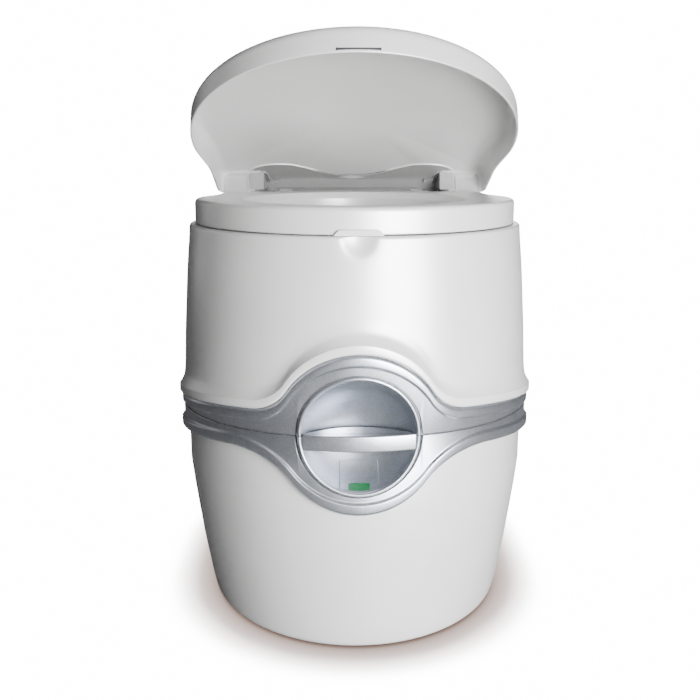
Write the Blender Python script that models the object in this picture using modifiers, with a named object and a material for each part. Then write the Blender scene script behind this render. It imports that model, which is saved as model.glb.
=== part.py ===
"""A portable camp toilet: a waste tank, a flush tank that stands on it, a seat and a lid.

The frame: metres, +Z up, the front towards -Y, the origin on the floor under the middle of
the whole outline. The body is drawn as closed outlines round a vertical axis: half an ellipse
at the front and half a squarer superellipse at the back. A body section is that outline drawn
in by a distance, its "inset". The lid stands a little open.
"""
import math

import bmesh
import bpy
from mathutils import Matrix, Vector

# ---------------------------------------------------------------- driving dimensions, metres
HALF_WIDTH = 0.194          # at the flared lip above the trim band
WIDEST_Y = -0.014           # where the outline is widest
FRONT_REACH = 0.211         # from the widest line to the front
REAR_REACH = 0.233          # and to the back
GAP = 0.0004                # between neighbours that touch

SEAM_Z = 0.229              # the trim band's split, at the front
SEAM_DROP = 0.0125          # how much lower it lies along the sides and the back
EDGE_DROP = 0.0290          # and how much lower the band's edges lie there
BAND_BACK = 0.0082          # inset of the band's inner face
BODY_UNDER_BAND = 0.0092    # inset of the tanks behind it
# rise beside the arch, the arch's radius round the dish, and the fillet at the arch's foot
UPPER_EDGE = (0.0245, 0.0775, 0.038)
LOWER_EDGE = (0.0140, 0.0755, 0.080)
ARCH_SPAN = 0.126           # the half-width that the arches and their fillets take up
DISH_RADIUS = 0.0535
DISH_DEPTH = 0.036
DISH_FLANGE = 0.0572
DISH_WALL = 0.0022

WALL = 0.003
WASTE_DECK_Z = 0.212
WASTE_TOP_Z = 0.2186
FLUSH_BASE_Z = 0.2190
DECK_Z = 0.410

BOWL_Y = -0.030             # centre of the bowl and of the seat's opening
BOWL_RADII = (0.116, 0.146)
OUTLET_Y = -0.020
OUTLET_RADIUS = 0.040

HINGE_Y = 0.181
HINGE_Z = 0.430
LID_OPEN = math.radians(23.5)   # how far the lid stands open
SEAT_BOTTOM, SEAT_TOP = 0.4112, 0.4360
LID_BOTTOM = 0.4107
LID_TOP = 0.4405            # where the lid's round edge meets its crown
COVER_ROUND = 0.0125        # the round edge of the lid
LID_WALL = 0.0024
LID_CROWN = 0.0075

KNUCKLE_RADIUS = 0.0080
PIN_RADIUS = 0.0030
BORE_RADIUS = 0.0033
# stations along X of one hinge, from its inner lug to its outer lug
LUG_IN, SEAT_KNUCKLE, LID_KNUCKLE, LUG_OUT = (
    (0.0740, 0.0780), (0.0785, 0.0905), (0.0910, 0.1030), (0.1035, 0.1075))

WHITE = (0.86, 0.86, 0.84)
INNER_WHITE = (0.80, 0.80, 0.78)
SILVER = (0.46, 0.49, 0.54)
DARK = (0.05, 0.05, 0.055)
GREEN = (0.03, 0.30, 0.09)
STEEL = (0.60, 0.60, 0.60)


# ---------------------------------------------------------------- scene, materials, objects
for old in list(bpy.data.objects):
    bpy.data.objects.remove(old, do_unlink=True)
PARTS = bpy.data.collections.new("camp_toilet")
CUTTERS = bpy.data.collections.new("cutters")
bpy.context.scene.collection.children.link(PARTS)
bpy.context.scene.collection.children.link(CUTTERS)


def finish_material(name, colour, roughness, metallic=0.0):
    """A plain Principled material with the piece's own name."""
    material = bpy.data.materials.new(name)
    material.use_nodes = True
    shader = material.node_tree.nodes["Principled BSDF"]
    shader.inputs["Base Color"].default_value = (*colour, 1.0)
    shader.inputs["Roughness"].default_value = roughness
    shader.inputs["Metallic"].default_value = metallic
    material.diffuse_color = (*colour, 1.0)
    return material


def add_part(name, mesh, colour, roughness=0.25, metallic=0.0, parent=None):
    """Put a world-space mesh in the part's collection; a parent empty becomes its origin."""
    obj = bpy.data.objects.new(name, mesh)
    mesh.materials.clear()
    mesh.materials.append(finish_material(name, colour, roughness, metallic))
    PARTS.objects.link(obj)
    if parent is not None:
        obj.parent = parent
        obj.matrix_parent_inverse = Matrix.Translation(-parent.location)
    mesh.shade_smooth()
    mesh.set_sharp_from_angle(angle=math.radians(35))
    return obj


def add_axis(name, location, parent=None):
    """An empty on a joint's axis, which the moving pieces hang from."""
    empty = bpy.data.objects.new(name, None)
    empty.location = location
    empty.empty_display_size = 0.02
    PARTS.objects.link(empty)
    if parent is not None:
        empty.parent = parent
        empty.matrix_parent_inverse = Matrix.Translation(-parent.location)
    return empty


def mesh_from(bm, facing=True):
    """The mesh of a bmesh; facing turns its faces outwards first."""
    if facing:
        bmesh.ops.recalc_face_normals(bm, faces=bm.faces)
    mesh = bpy.data.meshes.new("shape")
    bm.to_mesh(mesh)
    bm.free()
    return mesh


def combine(mesh, others, operation):
    """The mesh with the others cut away or joined on, by exact Booleans."""
    target = bpy.data.objects.new("target", mesh)
    CUTTERS.objects.link(target)
    tools = []
    for other in others:
        tool = bpy.data.objects.new("tool", other)
        tool.hide_render = True
        tool.display_type = "WIRE"
        CUTTERS.objects.link(tool)
        tools.append(tool)
        modifier = target.modifiers.new("combine", "BOOLEAN")
        modifier.operation = operation
        modifier.solver = "EXACT"
        modifier.object = tool
    graph = bpy.context.evaluated_depsgraph_get()
    result = bpy.data.meshes.new_from_object(target.evaluated_get(graph))
    for obj in [target, *tools]:
        bpy.data.objects.remove(obj, do_unlink=True)
    bm = bmesh.new()
    bm.from_mesh(result)
    bmesh.ops.remove_doubles(bm, verts=bm.verts, dist=0.00001)
    bmesh.ops.dissolve_degenerate(bm, edges=bm.edges, dist=0.00001)
    bm.to_mesh(result)
    bm.free()
    return result


def cut(mesh, *cutters):
    return combine(mesh, cutters, "DIFFERENCE")


def join(mesh, *others):
    return combine(mesh, others, "UNION")


# ---------------------------------------------------------------- shapes
def loft(rings, ends="cap"):
    """Skin a list of equal rings. ends: "cap" closes both ends, "loop" joins last to first."""
    bm = bmesh.new()
    rows = [[bm.verts.new(p) for p in ring] for ring in rings]
    count = len(rings[0])
    pairs = list(zip(rows, rows[1:]))
    if ends == "loop":
        pairs.append((rows[-1], rows[0]))
    for low, high in pairs:
        for i in range(count):
            j = (i + 1) % count
            bm.faces.new((low[i], low[j], high[j], high[i]))
    if ends == "cap":
        bm.faces.new(rows[0])
        bm.faces.new(rows[-1])
    return mesh_from(bm)


def box(low, high):
    bm = bmesh.new()
    bmesh.ops.create_cube(bm, size=1.0)
    low, high = Vector(low), Vector(high)
    for vert in bm.verts:
        vert.co = Vector(((low[k] + high[k]) / 2 + vert.co[k] * (high[k] - low[k])
                          for k in range(3)))
    return mesh_from(bm)


def soft_box(low, high, radius, segments=2):
    """A box with round edges."""
    bm = bmesh.new()
    bm.from_mesh(box(low, high))
    bmesh.ops.bevel(bm, geom=bm.edges[:], offset=radius, segments=segments, profile=0.5,
                    affect="EDGES")
    return mesh_from(bm)


def rod(start, end, radius, sides=24, radius_end=None):
    """A cylinder or cone frustum from start to end."""
    start, end = Vector(start), Vector(end)
    bm = bmesh.new()
    top = radius if radius_end is None else radius_end
    bmesh.ops.create_cone(bm, cap_ends=True, segments=sides, radius1=radius, radius2=top,
                          depth=(end - start).length)
    turn = Vector((0, 0, 1)).rotation_difference(end - start).to_matrix().to_4x4()
    bmesh.ops.transform(bm, matrix=Matrix.Translation((start + end) / 2) @ turn, verts=bm.verts)
    return mesh_from(bm)


def turned(profile, centre=(0, 0, 0), axis=(0, 0, 1), sides=32, closed=True):
    """A shape turned about an axis from (radius, height) points; closed makes a hollow ring."""
    turn = Vector((0, 0, 1)).rotation_difference(Vector(axis)).to_matrix()
    place = Vector(centre)
    rings = []
    for radius, height in profile:
        ring = []
        for i in range(sides):
            angle = 2 * math.pi * i / sides
            point = Vector((radius * math.cos(angle), radius * math.sin(angle), height))
            ring.append(place + turn @ point)
        rings.append(ring)
    return loft(rings, "loop" if closed else "cap")


def turn_about(mesh, pivot, angle):
    """Turn a mesh about a line through the pivot along X."""
    spin = Matrix.Rotation(angle, 4, "X")
    mesh.transform(Matrix.Translation(pivot) @ spin @ Matrix.Translation(-Vector(pivot)))
    return mesh


# ---------------------------------------------------------------- the body's outline
ARCH_PHI = math.asin(ARCH_SPAN / HALF_WIDTH)


def outline_angles(arch_steps=20, side_steps=4, rear_steps=12):
    """Angles round the body from the front centre, closer together round the dish."""
    angles = []
    for i in range(arch_steps):
        angles.append(-ARCH_PHI + 2 * ARCH_PHI * i / arch_steps)
    for i in range(side_steps):
        angles.append(ARCH_PHI + (math.pi / 2 - ARCH_PHI) * i / side_steps)
    for i in range(rear_steps):
        angles.append(math.pi / 2 + math.pi * i / rear_steps)
    for i in range(side_steps):
        angles.append(1.5 * math.pi + (math.pi / 2 - ARCH_PHI) * i / side_steps)
    return angles


ANGLES = outline_angles()
REAR_POWER = 6.0            # how square the back is


def body_point(angle, inset):
    """The outline's point at an angle from the front centre, drawn in by the inset."""
    across, along = math.sin(angle), math.cos(angle)
    if along >= 0:
        return ((HALF_WIDTH - inset) * across, WIDEST_Y - (FRONT_REACH - inset) * along)
    power = 2 / REAR_POWER
    x = (HALF_WIDTH - inset) * math.copysign(abs(across) ** power, across)
    y = WIDEST_Y + (REAR_REACH - inset) * abs(along) ** power
    return (x, y)


def front_y(x, inset):
    """The front face's Y at a distance across."""
    return WIDEST_Y - (FRONT_REACH - inset) * math.sqrt(1 - (x / (HALF_WIDTH - inset)) ** 2)


def crest(x, rise, radius, fillet):
    """Distance of the band's edge from the split: a level rise, with an arch round the dish."""
    across = abs(x)
    foot = math.sqrt((radius + fillet) ** 2 - (rise + fillet) ** 2)
    touch = foot * radius / (radius + fillet)
    if across >= foot:
        return rise
    if across >= touch:
        return rise + fillet - math.sqrt(fillet ** 2 - (foot - across) ** 2)
    return math.sqrt(radius ** 2 - across ** 2)


def sag(y):
    """The share of its drop that the band has at a place: none at the front, all past the sides."""
    return min(1.0, max(0.0, 1.0 - (WIDEST_Y - y) / (FRONT_REACH - BAND_BACK)))


def seam(x, y):
    return SEAM_Z - SEAM_DROP * sag(y)


def band_top(x, y):
    level = UPPER_EDGE[0] if y >= WIDEST_Y else crest(x, *UPPER_EDGE)
    return SEAM_Z - EDGE_DROP * sag(y) + level


def band_bottom(x, y):
    level = LOWER_EDGE[0] if y >= WIDEST_Y else crest(x, *LOWER_EDGE)
    return SEAM_Z - EDGE_DROP * sag(y) - level


def body_ring(inset, height):
    """One section of the body; height is a number or a function of a place on the outline."""
    ring = []
    for angle in ANGLES:
        z = height(*body_point(angle, BAND_BACK)) if callable(height) else height
        ring.append((*body_point(angle, inset), z))
    return ring


OVAL_STEPS = 30


def oval_ring(radii, centre_y, z):
    """A level ellipse."""
    angles = [2 * math.pi * i / OVAL_STEPS for i in range(OVAL_STEPS)]
    return [(radii[0] * math.sin(a), centre_y - radii[1] * math.cos(a), z) for a in angles]


def dish_depth(radius):
    """How far the round dish lies behind the body's front at a distance from its centre."""
    sphere = (DISH_RADIUS ** 2 + DISH_DEPTH ** 2) / (2 * DISH_DEPTH)
    return math.sqrt(sphere ** 2 - min(radius, DISH_RADIUS) ** 2) - (sphere - DISH_DEPTH)


def dish_grid(radii, angles, inset, shift=0.0, extra=0.0):
    """Rows of points on the dish, from its centre outwards."""
    rows = []
    for radius in radii:
        row = []
        for angle in angles:
            x, up = (radius + extra) * math.sin(angle), (radius + extra) * math.cos(angle)
            y = front_y(x, inset) + dish_depth(radius) + shift
            row.append((x, y, SEAM_Z + up))
        rows.append(row)
    return rows


def dish_plug(clearance):
    """The space that the dish takes out of the tanks, grown by a clearance."""
    steps = 20
    angles = [2 * math.pi * i / steps for i in range(steps)]
    radii = [0.015, 0.030, 0.042, 0.049, DISH_RADIUS]
    back = dish_grid(radii, angles, BAND_BACK, clearance + DISH_WALL, clearance)
    edge = DISH_FLANGE + clearance
    rim = [(edge * math.sin(a), front_y(edge * math.sin(a), BAND_BACK) + clearance + 0.0005,
            SEAM_Z + edge * math.cos(a)) for a in angles]
    front = [(p[0], -0.26, p[2]) for p in rim]
    return loft([*back, rim, front])


# ---------------------------------------------------------------- the waste tank
def waste_profile():
    """(inset, height) up the waste tank's side, from the floor."""
    return [(0.0440, 0.0000), (0.0365, 0.0014), (0.0325, 0.0048), (0.0305, 0.0115),
            (0.0253, 0.0395), (0.0201, 0.0699), (0.0159, 0.0997), (0.0121, 0.1290),
            (BODY_UNDER_BAND, 0.1560), (BODY_UNDER_BAND, WASTE_TOP_Z)]


SPOUT_X, SPOUT_Z = -0.088, 0.128
SPOUT_AXIS_Y = 0.162        # the swivel's upright axis, where the folded tube also runs
SPOUT_BACK = 0.136          # the back wall of the recess that the pouring spout folds into
SPOUT_FLOOR = 0.086
RECESS_LOW, RECESS_HIGH = (-0.142, SPOUT_BACK, SPOUT_FLOOR), (0.142, 0.300, 0.170)
VENT_X, VENT_Z = 0.112, 0.150


def rod_slot(half):
    """The slot through the front for the valve's flat rod."""
    return box((-half, -0.230, 0.2158), (half, -0.150, 0.2196))


def make_waste_tank():
    outer = loft([body_ring(inset, z) for inset, z in waste_profile()])
    recess = soft_box(RECESS_LOW, RECESS_HIGH, 0.006)
    outer = cut(outer, dish_plug(GAP), recess)
    inner_rings = [body_ring(inset + WALL, z) for inset, z in waste_profile()
                   if WALL < z < WASTE_DECK_Z - WALL]
    inner_rings.insert(0, body_ring(0.0400, WALL))
    inner_rings.append(body_ring(BODY_UNDER_BAND + WALL, WASTE_DECK_Z - WALL))
    grown = soft_box([v - WALL for v in RECESS_LOW], [v + WALL for v in RECESS_HIGH], 0.006)
    inner = cut(loft(inner_rings), dish_plug(GAP + WALL), grown)
    well = loft([body_ring(0.0250, WASTE_DECK_Z), body_ring(0.0250, WASTE_TOP_Z + 0.01)])
    hole = rod((0, OUTLET_Y, WASTE_DECK_Z - 0.01), (0, OUTLET_Y, WASTE_DECK_Z + 0.01),
               OUTLET_RADIUS + 0.004, 28)
    neck = rod((SPOUT_X, SPOUT_AXIS_Y, SPOUT_FLOOR - 0.01),
               (SPOUT_X, SPOUT_AXIS_Y, SPOUT_FLOOR + 0.01), 0.0170, 20)
    vent = rod((VENT_X, SPOUT_BACK - 0.01, VENT_Z), (VENT_X, SPOUT_BACK + 0.01, VENT_Z),
               0.0085, 24)
    return cut(outer, inner, well, hole, rod_slot(0.0105), neck, vent)


waste = add_axis("waste_tank_frame", (0, 0, 0))
add_part("waste_tank_shell", make_waste_tank(), WHITE, 0.22, parent=waste)


def belt(edge, edge_side, strip, strip_inset, field_inset):
    """One half of the trim band: a field beside the split and a raised strip along its edge."""
    def split(x, y):
        return seam(x, y) + edge_side * GAP

    def below(depth, least):
        """A height under the band's edge, but never nearer to the split than the least."""
        def height(x, y):
            room = edge_side * (edge(x, y) - split(x, y))
            return edge(x, y) - edge_side * min(depth, room - least)
        return height

    profile = [
        (BAND_BACK, split), (field_inset, split), (field_inset, below(strip + 0.002, 0.0006)),
        (strip_inset, below(strip, 0.0016)), (strip_inset, below(0.0035, 0.0020)),
        (strip_inset + 0.0025, below(GAP, 0.0024)), (BAND_BACK, below(GAP, 0.0024))]
    ring = loft([body_ring(inset, height) for inset, height in profile], "loop")
    hole = rod((0, -0.27, SEAM_Z), (0, -0.12, SEAM_Z), DISH_FLANGE + 0.0008, 40)
    return cut(ring, hole)


add_part("lower_band", belt(band_bottom, -1, 0.0105, 0.0012, 0.0042), SILVER, 0.35, 0.6,
         parent=waste)


def dish_half(upper):
    """Half of the round dish, with its flange, as one thin cupped sheet."""
    side = 1 if upper else -1
    steps = 14
    start = -math.pi / 2 + 0.006
    angles = [start + (math.pi - 0.012) * i / steps for i in range(steps + 1)]
    if not upper:
        angles = [a + math.pi for a in angles]
    radii = [0.006, 0.022, 0.036, 0.046, DISH_RADIUS]
    front = dish_grid(radii, angles, 0.0042)
    lip = [(0.0546, 0.0032), (0.0560, 0.0032), (DISH_FLANGE, 0.0050)]
    for radius, inset in lip:
        row = []
        for a in angles:
            x = radius * math.sin(a)
            row.append((x, front_y(x, inset), SEAM_Z + radius * math.cos(a)))
        front.append(row)
    bm = bmesh.new()
    rows = [[bm.verts.new((p[0], p[1], p[2] + side * 0.0003)) for p in row] for row in front]
    for low, high in zip(rows, rows[1:]):
        for i in range(steps):
            bm.faces.new((low[i], low[i + 1], high[i + 1], high[i]))
    bm.faces.new(rows[0])
    bmesh.ops.recalc_face_normals(bm, faces=bm.faces)
    if sum(f.normal.y for f in bm.faces) > 0:
        bmesh.ops.reverse_faces(bm, faces=bm.faces)
    thick = bpy.data.objects.new("dish_sheet", mesh_from(bm, facing=False))
    CUTTERS.objects.link(thick)
    modifier = thick.modifiers.new("wall", "SOLIDIFY")
    modifier.thickness = DISH_WALL
    modifier.offset = -1.0
    graph = bpy.context.evaluated_depsgraph_get()
    mesh = bpy.data.meshes.new_from_object(thick.evaluated_get(graph))
    bpy.data.objects.remove(thick, do_unlink=True)
    spare = box((-0.1, -0.3, SEAM_Z - 0.1 if upper else SEAM_Z - GAP),
                (0.1, -0.1, SEAM_Z + GAP if upper else SEAM_Z + 0.1))
    return cut(mesh, spare)


add_part("lower_dish", cut(dish_half(False), rod_slot(0.0100)), SILVER, 0.35, 0.6, parent=waste)


# the level window and its plate, lying in the lower half of the dish
SPHERE = (DISH_RADIUS ** 2 + DISH_DEPTH ** 2) / (2 * DISH_DEPTH)
SPHERE_CENTRE = Vector((0, front_y(0, 0.0042) - (SPHERE - DISH_DEPTH), SEAM_Z))


def in_dish(mesh, slope):
    """Turn a mesh made along +Y from the dish's sphere centre down by a slope."""
    mesh.transform(Matrix.Translation(SPHERE_CENTRE) @ Matrix.Rotation(-slope, 4, "X"))
    return mesh


PLATE_SLOPE = math.radians(50)
PLATE_BACK = 0.0522
plate = soft_box((-0.0165, PLATE_BACK - 0.0018, -0.0150), (0.0165, PLATE_BACK, 0.0160), 0.0007, 1)
window_hole = box((-0.0108, 0.04, -0.0138), (0.0108, 0.07, -0.0066))
add_part("level_plate", in_dish(cut(plate, window_hole), PLATE_SLOPE), SILVER, 0.4, 0.5,
         parent=waste)
lens = soft_box((-0.0104, PLATE_BACK - 0.0020, -0.0134), (0.0104, PLATE_BACK - 0.0002, -0.0070),
                0.0005, 1)
add_part("level_window", in_dish(lens, PLATE_SLOPE), GREEN, 0.12, parent=waste)

# the sliding valve: a base plate with its hole, a cover plate, the blade between and a lip seal
RAIL_X = 0.056
VALVE_Z = WASTE_DECK_Z + GAP


def valve_plate(low_z, high_z, rails):
    body = box((-0.062, -0.150, low_z), (0.062, 0.044, high_z))
    if rails:
        left = box((-0.062, -0.150, high_z - 0.0005), (-RAIL_X, 0.044, high_z + 0.0030))
        right = box((RAIL_X, -0.150, high_z - 0.0005), (0.062, 0.044, high_z + 0.0030))
        body = join(body, left, right)
    hole = rod((0, OUTLET_Y, low_z - 0.01), (0, OUTLET_Y, high_z + 0.01), OUTLET_RADIUS, 28)
    return cut(body, hole)


add_part("valve_base", valve_plate(VALVE_Z, VALVE_Z + 0.0035, True), DARK, 0.5, parent=waste)
add_part("valve_cover", valve_plate(VALVE_Z + 0.0069, VALVE_Z + 0.0099, False), DARK, 0.5,
         parent=waste)
seal_profile = [(0.041, 0.0), (0.047, 0.0), (0.047, 0.0030), (0.0455, 0.0052), (0.0425, 0.0052),
                (0.041, 0.0030)]
add_part("valve_lip_seal", turned(seal_profile, (0, OUTLET_Y, VALVE_Z + 0.0102), sides=28), DARK,
         0.7, parent=waste)

valve = add_axis("valve_slide", (0, front_y(0, 0.003), VALVE_Z + 0.005))
blade = soft_box((-0.0550, OUTLET_Y - 0.0500, VALVE_Z + 0.0040),
                 (0.0550, OUTLET_Y + 0.0500, VALVE_Z + 0.0064), 0.0006, 1)
add_part("valve_blade", blade, INNER_WHITE, 0.3, parent=valve)

HANDLE_LOW, HANDLE_HIGH = 0.2148, 0.2308
HANDLE_HALF = 0.0520


def handle_ring(z, trim):
    """The handle's outline: its front follows the body, its back is a shallow arc."""
    half = HANDLE_HALF - trim
    steps = 14
    ring = []
    for i in range(steps + 1):
        x = -half + 2 * half * i / steps
        ring.append((x, front_y(x, 0.0036) + trim, z))
    for i in range(1, steps):
        x = half - 2 * half * i / steps
        ring.append((x, front_y(x, 0.0036) + 0.0285 * (1 - (x / half) ** 2) + 0.0030 - trim, z))
    return ring


handle = loft([handle_ring(HANDLE_LOW, 0.0022), handle_ring(HANDLE_LOW + 0.0015, 0.0),
               handle_ring(HANDLE_HIGH - 0.0015, 0.0), handle_ring(HANDLE_HIGH, 0.0022)])
add_part("valve_handle", handle, SILVER, 0.3, 0.6, parent=valve)
ROD_BACK, ROD_FRONT = OUTLET_Y - 0.0500 - GAP, front_y(0, 0.0036) + 0.0315 + GAP
valve_rod = box((-0.0080, ROD_FRONT, VALVE_Z + 0.0042), (0.0080, ROD_BACK, VALVE_Z + 0.0060))
add_part("valve_rod", valve_rod, STEEL, 0.35, 1.0, parent=valve)

# the level float: an arm on a pivot inside the tank, its flag behind the window
FLOAT_PIVOT = Vector((0.0, -0.140, 0.160))
float_axis = add_axis("level_float_pivot", FLOAT_PIVOT)
bracket_left = box((-0.0160, FLOAT_PIVOT.y - 0.006, 0.154), (-0.0130, FLOAT_PIVOT.y + 0.006, 0.2085))
bracket_right = box((0.0130, FLOAT_PIVOT.y - 0.006, 0.154), (0.0160, FLOAT_PIVOT.y + 0.006, 0.2085))
bracket_bar = box((-0.0160, FLOAT_PIVOT.y - 0.006, 0.2055), (0.0160, FLOAT_PIVOT.y + 0.006, 0.2085))
pivot_rod = rod((-0.0145, FLOAT_PIVOT.y, FLOAT_PIVOT.z), (0.0145, FLOAT_PIVOT.y, FLOAT_PIVOT.z),
                0.0020, 12)
add_part("float_bracket", join(bracket_bar, bracket_left, bracket_right, pivot_rod), DARK, 0.5,
         parent=waste)
hub = turned([(0.0024, -0.010), (0.0055, -0.010), (0.0055, 0.010), (0.0024, 0.010)],
             FLOAT_PIVOT, (1, 0, 0), 20)
arm = box((-0.0040, FLOAT_PIVOT.y + 0.0040, FLOAT_PIVOT.z - 0.0030),
          (0.0040, FLOAT_PIVOT.y + 0.0800, FLOAT_PIVOT.z + 0.0010))
add_part("float_arm", join(hub, arm), INNER_WHITE, 0.4, parent=float_axis)
float_ball = soft_box((-0.0300, FLOAT_PIVOT.y + 0.0804, FLOAT_PIVOT.z - 0.0170),
                      (0.0300, FLOAT_PIVOT.y + 0.1204, FLOAT_PIVOT.z + 0.0080), 0.006)
add_part("level_float", float_ball, INNER_WHITE, 0.5, parent=float_axis)

# ---------------------------------------------------------------- the pouring spout and its cap
collar = turned([(0.0165, 0.0), (0.0205, 0.0), (0.0205, 0.0040), (0.0192, 0.0053),
                 (0.0165, 0.0053)],
                (SPOUT_X, SPOUT_AXIS_Y, SPOUT_FLOOR + GAP), sides=20)
add_part("spout_collar", collar, DARK, 0.5, parent=waste)

spout_axis = add_axis("spout_swivel", (SPOUT_X, SPOUT_AXIS_Y, SPOUT_FLOOR))
MOUTH_X = SPOUT_X + 0.118


def elbow():
    """A bent tube from the swivel out to its threaded mouth, hollow all the way."""
    bend = 0.0180
    outer, inner = 0.0180, 0.0152
    path = [(Vector((SPOUT_X, SPOUT_AXIS_Y, SPOUT_FLOOR + 0.0062)), Vector((0, 0, 1)))]
    corner = Vector((SPOUT_X + bend, SPOUT_AXIS_Y, SPOUT_Z - bend))
    for i in range(5):
        angle = math.pi / 2 * i / 4
        spot = corner + bend * Vector((-math.cos(angle), 0, math.sin(angle)))
        path.append((spot, Vector((math.sin(angle), 0, math.cos(angle)))))
    path.append((Vector((MOUTH_X, SPOUT_AXIS_Y, SPOUT_Z)), Vector((1, 0, 0))))
    sides = 16
    rings = []
    for radius, stops in ((outer, path), (inner, path[::-1])):
        for spot, direction in stops:
            side = Vector((0, 1, 0))
            up = side.cross(direction)
            rings.append([spot + radius * (side * math.cos(a) + up * math.sin(a))
                          for a in [2 * math.pi * k / sides for k in range(sides)]])
    return loft(rings, "loop")


add_part("pour_spout", elbow(), DARK, 0.35, parent=spout_axis)
cap_axis = add_axis("spout_cap_turn", (MOUTH_X, SPOUT_AXIS_Y, SPOUT_Z), parent=spout_axis)
cap = turned([(0.0185, -0.0160), (0.0215, -0.0160), (0.0215, 0.0020), (0.0195, 0.0042),
              (0.0005, 0.0042), (0.0005, 0.0010), (0.0185, 0.0010)],
             (MOUTH_X, SPOUT_AXIS_Y, SPOUT_Z), (1, 0, 0), 20)
grips = []
for i in range(10):
    angle = 2 * math.pi * i / 10
    y, z = SPOUT_AXIS_Y + 0.0214 * math.cos(angle), SPOUT_Z + 0.0214 * math.sin(angle)
    grips.append(rod((MOUTH_X - 0.0150, y, z), (MOUTH_X + 0.0015, y, z), 0.0018, 6))
cap = join(cap, rod((MOUTH_X + 0.0012, SPOUT_AXIS_Y, SPOUT_Z),
                    (MOUTH_X + 0.0040, SPOUT_AXIS_Y, SPOUT_Z), 0.0030, 8), *grips)
add_part("spout_cap", cap, DARK, 0.4, parent=cap_axis)

# ---------------------------------------------------------------- the air vent button
vent_collar = turned([(0.0066, 0.0), (0.0115, 0.0), (0.0115, 0.0040), (0.0066, 0.0040)],
                     (VENT_X, SPOUT_BACK + GAP, VENT_Z), (0, 1, 0), 24)
add_part("vent_collar", vent_collar, DARK, 0.5, parent=waste)
vent_axis = add_axis("vent_press", (VENT_X, SPOUT_BACK, VENT_Z))
vent_button = turned([(0.0060, -0.0080), (0.0060, 0.0085), (0.0048, 0.0100)],
                     (VENT_X, SPOUT_BACK, VENT_Z), (0, 1, 0), 24, closed=False)
add_part("vent_button", vent_button, GREEN, 0.35, parent=vent_axis)

# ---------------------------------------------------------------- the latch across the seam
LATCH_PIVOT = Vector((0.0, 0.2150, 0.1765))
latch_axis = add_axis("tank_latch_pivot", LATCH_PIVOT)


def latch_mount():
    """Two lugs and the pin between them, on one strip."""
    strip = box((-0.0360, 0.2102, 0.1718), (0.0360, 0.2112, 0.1838))
    lugs = [box((x - 0.0020, 0.2106, 0.1722), (x + 0.0020, 0.2185, 0.1820))
            for x in (-0.0340, 0.0340)]
    pin = rod((-0.0350, LATCH_PIVOT.y, LATCH_PIVOT.z), (0.0350, LATCH_PIVOT.y, LATCH_PIVOT.z),
              0.0014, 12)
    return join(strip, *lugs, pin)


def latch_plate():
    """The latch: a flat tongue over the seam with a sleeve at its foot."""
    tongue = soft_box((-0.0300, 0.2196, 0.1730), (0.0300, 0.2250, 0.2480), 0.0018)
    sleeve = rod((-0.0310, LATCH_PIVOT.y, LATCH_PIVOT.z), (0.0310, LATCH_PIVOT.y, LATCH_PIVOT.z),
                 0.0034, 20)
    web = box((-0.0295, LATCH_PIVOT.y, 0.1750), (0.0295, 0.2210, 0.1790))
    bore = rod((-0.0400, LATCH_PIVOT.y, LATCH_PIVOT.z), (0.0400, LATCH_PIVOT.y, LATCH_PIVOT.z),
               0.0018, 16)
    groove = box((-0.0220, 0.2240, 0.2350), (0.0220, 0.2300, 0.2375))
    return cut(join(tongue, web, sleeve), bore, groove)


add_part("latch_mount", latch_mount(), DARK, 0.5, parent=waste)
add_part("tank_latch", latch_plate(), DARK, 0.4, parent=latch_axis)

# ---------------------------------------------------------------- the flush tank
flush = add_axis("flush_tank_lift", (0, 0, SEAM_Z))

SIDE_INSETS = [(0.2000, 0.0062), (0.2500, 0.0064), (0.2765, 0.0076), (0.3028, 0.0089),
               (0.3288, 0.0107), (0.3545, 0.0124), (0.3799, 0.0146), (0.3925, 0.0159),
               (0.4060, 0.0170)]


def side_inset(z):
    """The flush tank's inset at a height, between the stations above."""
    for (low, first), (high, second) in zip(SIDE_INSETS, SIDE_INSETS[1:]):
        if z <= high:
            return first + (second - first) * (z - low) / (high - low)
    return SIDE_INSETS[-1][1]


# the flared lip: (share of the flare that is left, height over the band's edge)
LIP = [(1.0, 0.0018), (1.0, 0.0055), (0.86, 0.0095), (0.40, 0.0150), (0.10, 0.0215),
       (0.0, 0.0300)]


def flush_rings():
    """The flush tank's sections from the split over the lip to the deck's round edge."""
    rings = [body_ring(BODY_UNDER_BAND, FLUSH_BASE_Z),
             body_ring(BODY_UNDER_BAND, lambda x, y: band_top(x, y) + 0.0006),
             body_ring(0.0010, lambda x, y: band_top(x, y) + 0.0006)]
    levels = [(flare, step, 0.0) for flare, step in LIP]
    levels += [(0.0, 0.0300, share) for share in (0.25, 0.50, 0.75, 1.0)]
    for flare, step, share in levels:
        ring = []
        for angle in ANGLES:
            foot = band_top(*body_point(angle, BAND_BACK)) + step
            z = foot + (SIDE_INSETS[-1][0] - foot) * share
            ring.append((*body_point(angle, side_inset(z) * (1 - flare)), z))
        rings.append(ring)
    return rings + [body_ring(0.0176, 0.4087), body_ring(0.0198, DECK_Z)]


SCOOP_CENTRE = (0.0, -0.2350, 0.4120)
SCOOP_RADIUS = 0.0325
PUMP_SPOT = (-0.1340, 0.1580)
FILLER_SPOT = (0.1335, 0.1550)


def ball(centre, radius, segments=18):
    bm = bmesh.new()
    bmesh.ops.create_uvsphere(bm, u_segments=segments, v_segments=segments // 2, radius=radius)
    bmesh.ops.translate(bm, vec=centre, verts=bm.verts)
    return mesh_from(bm)


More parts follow.
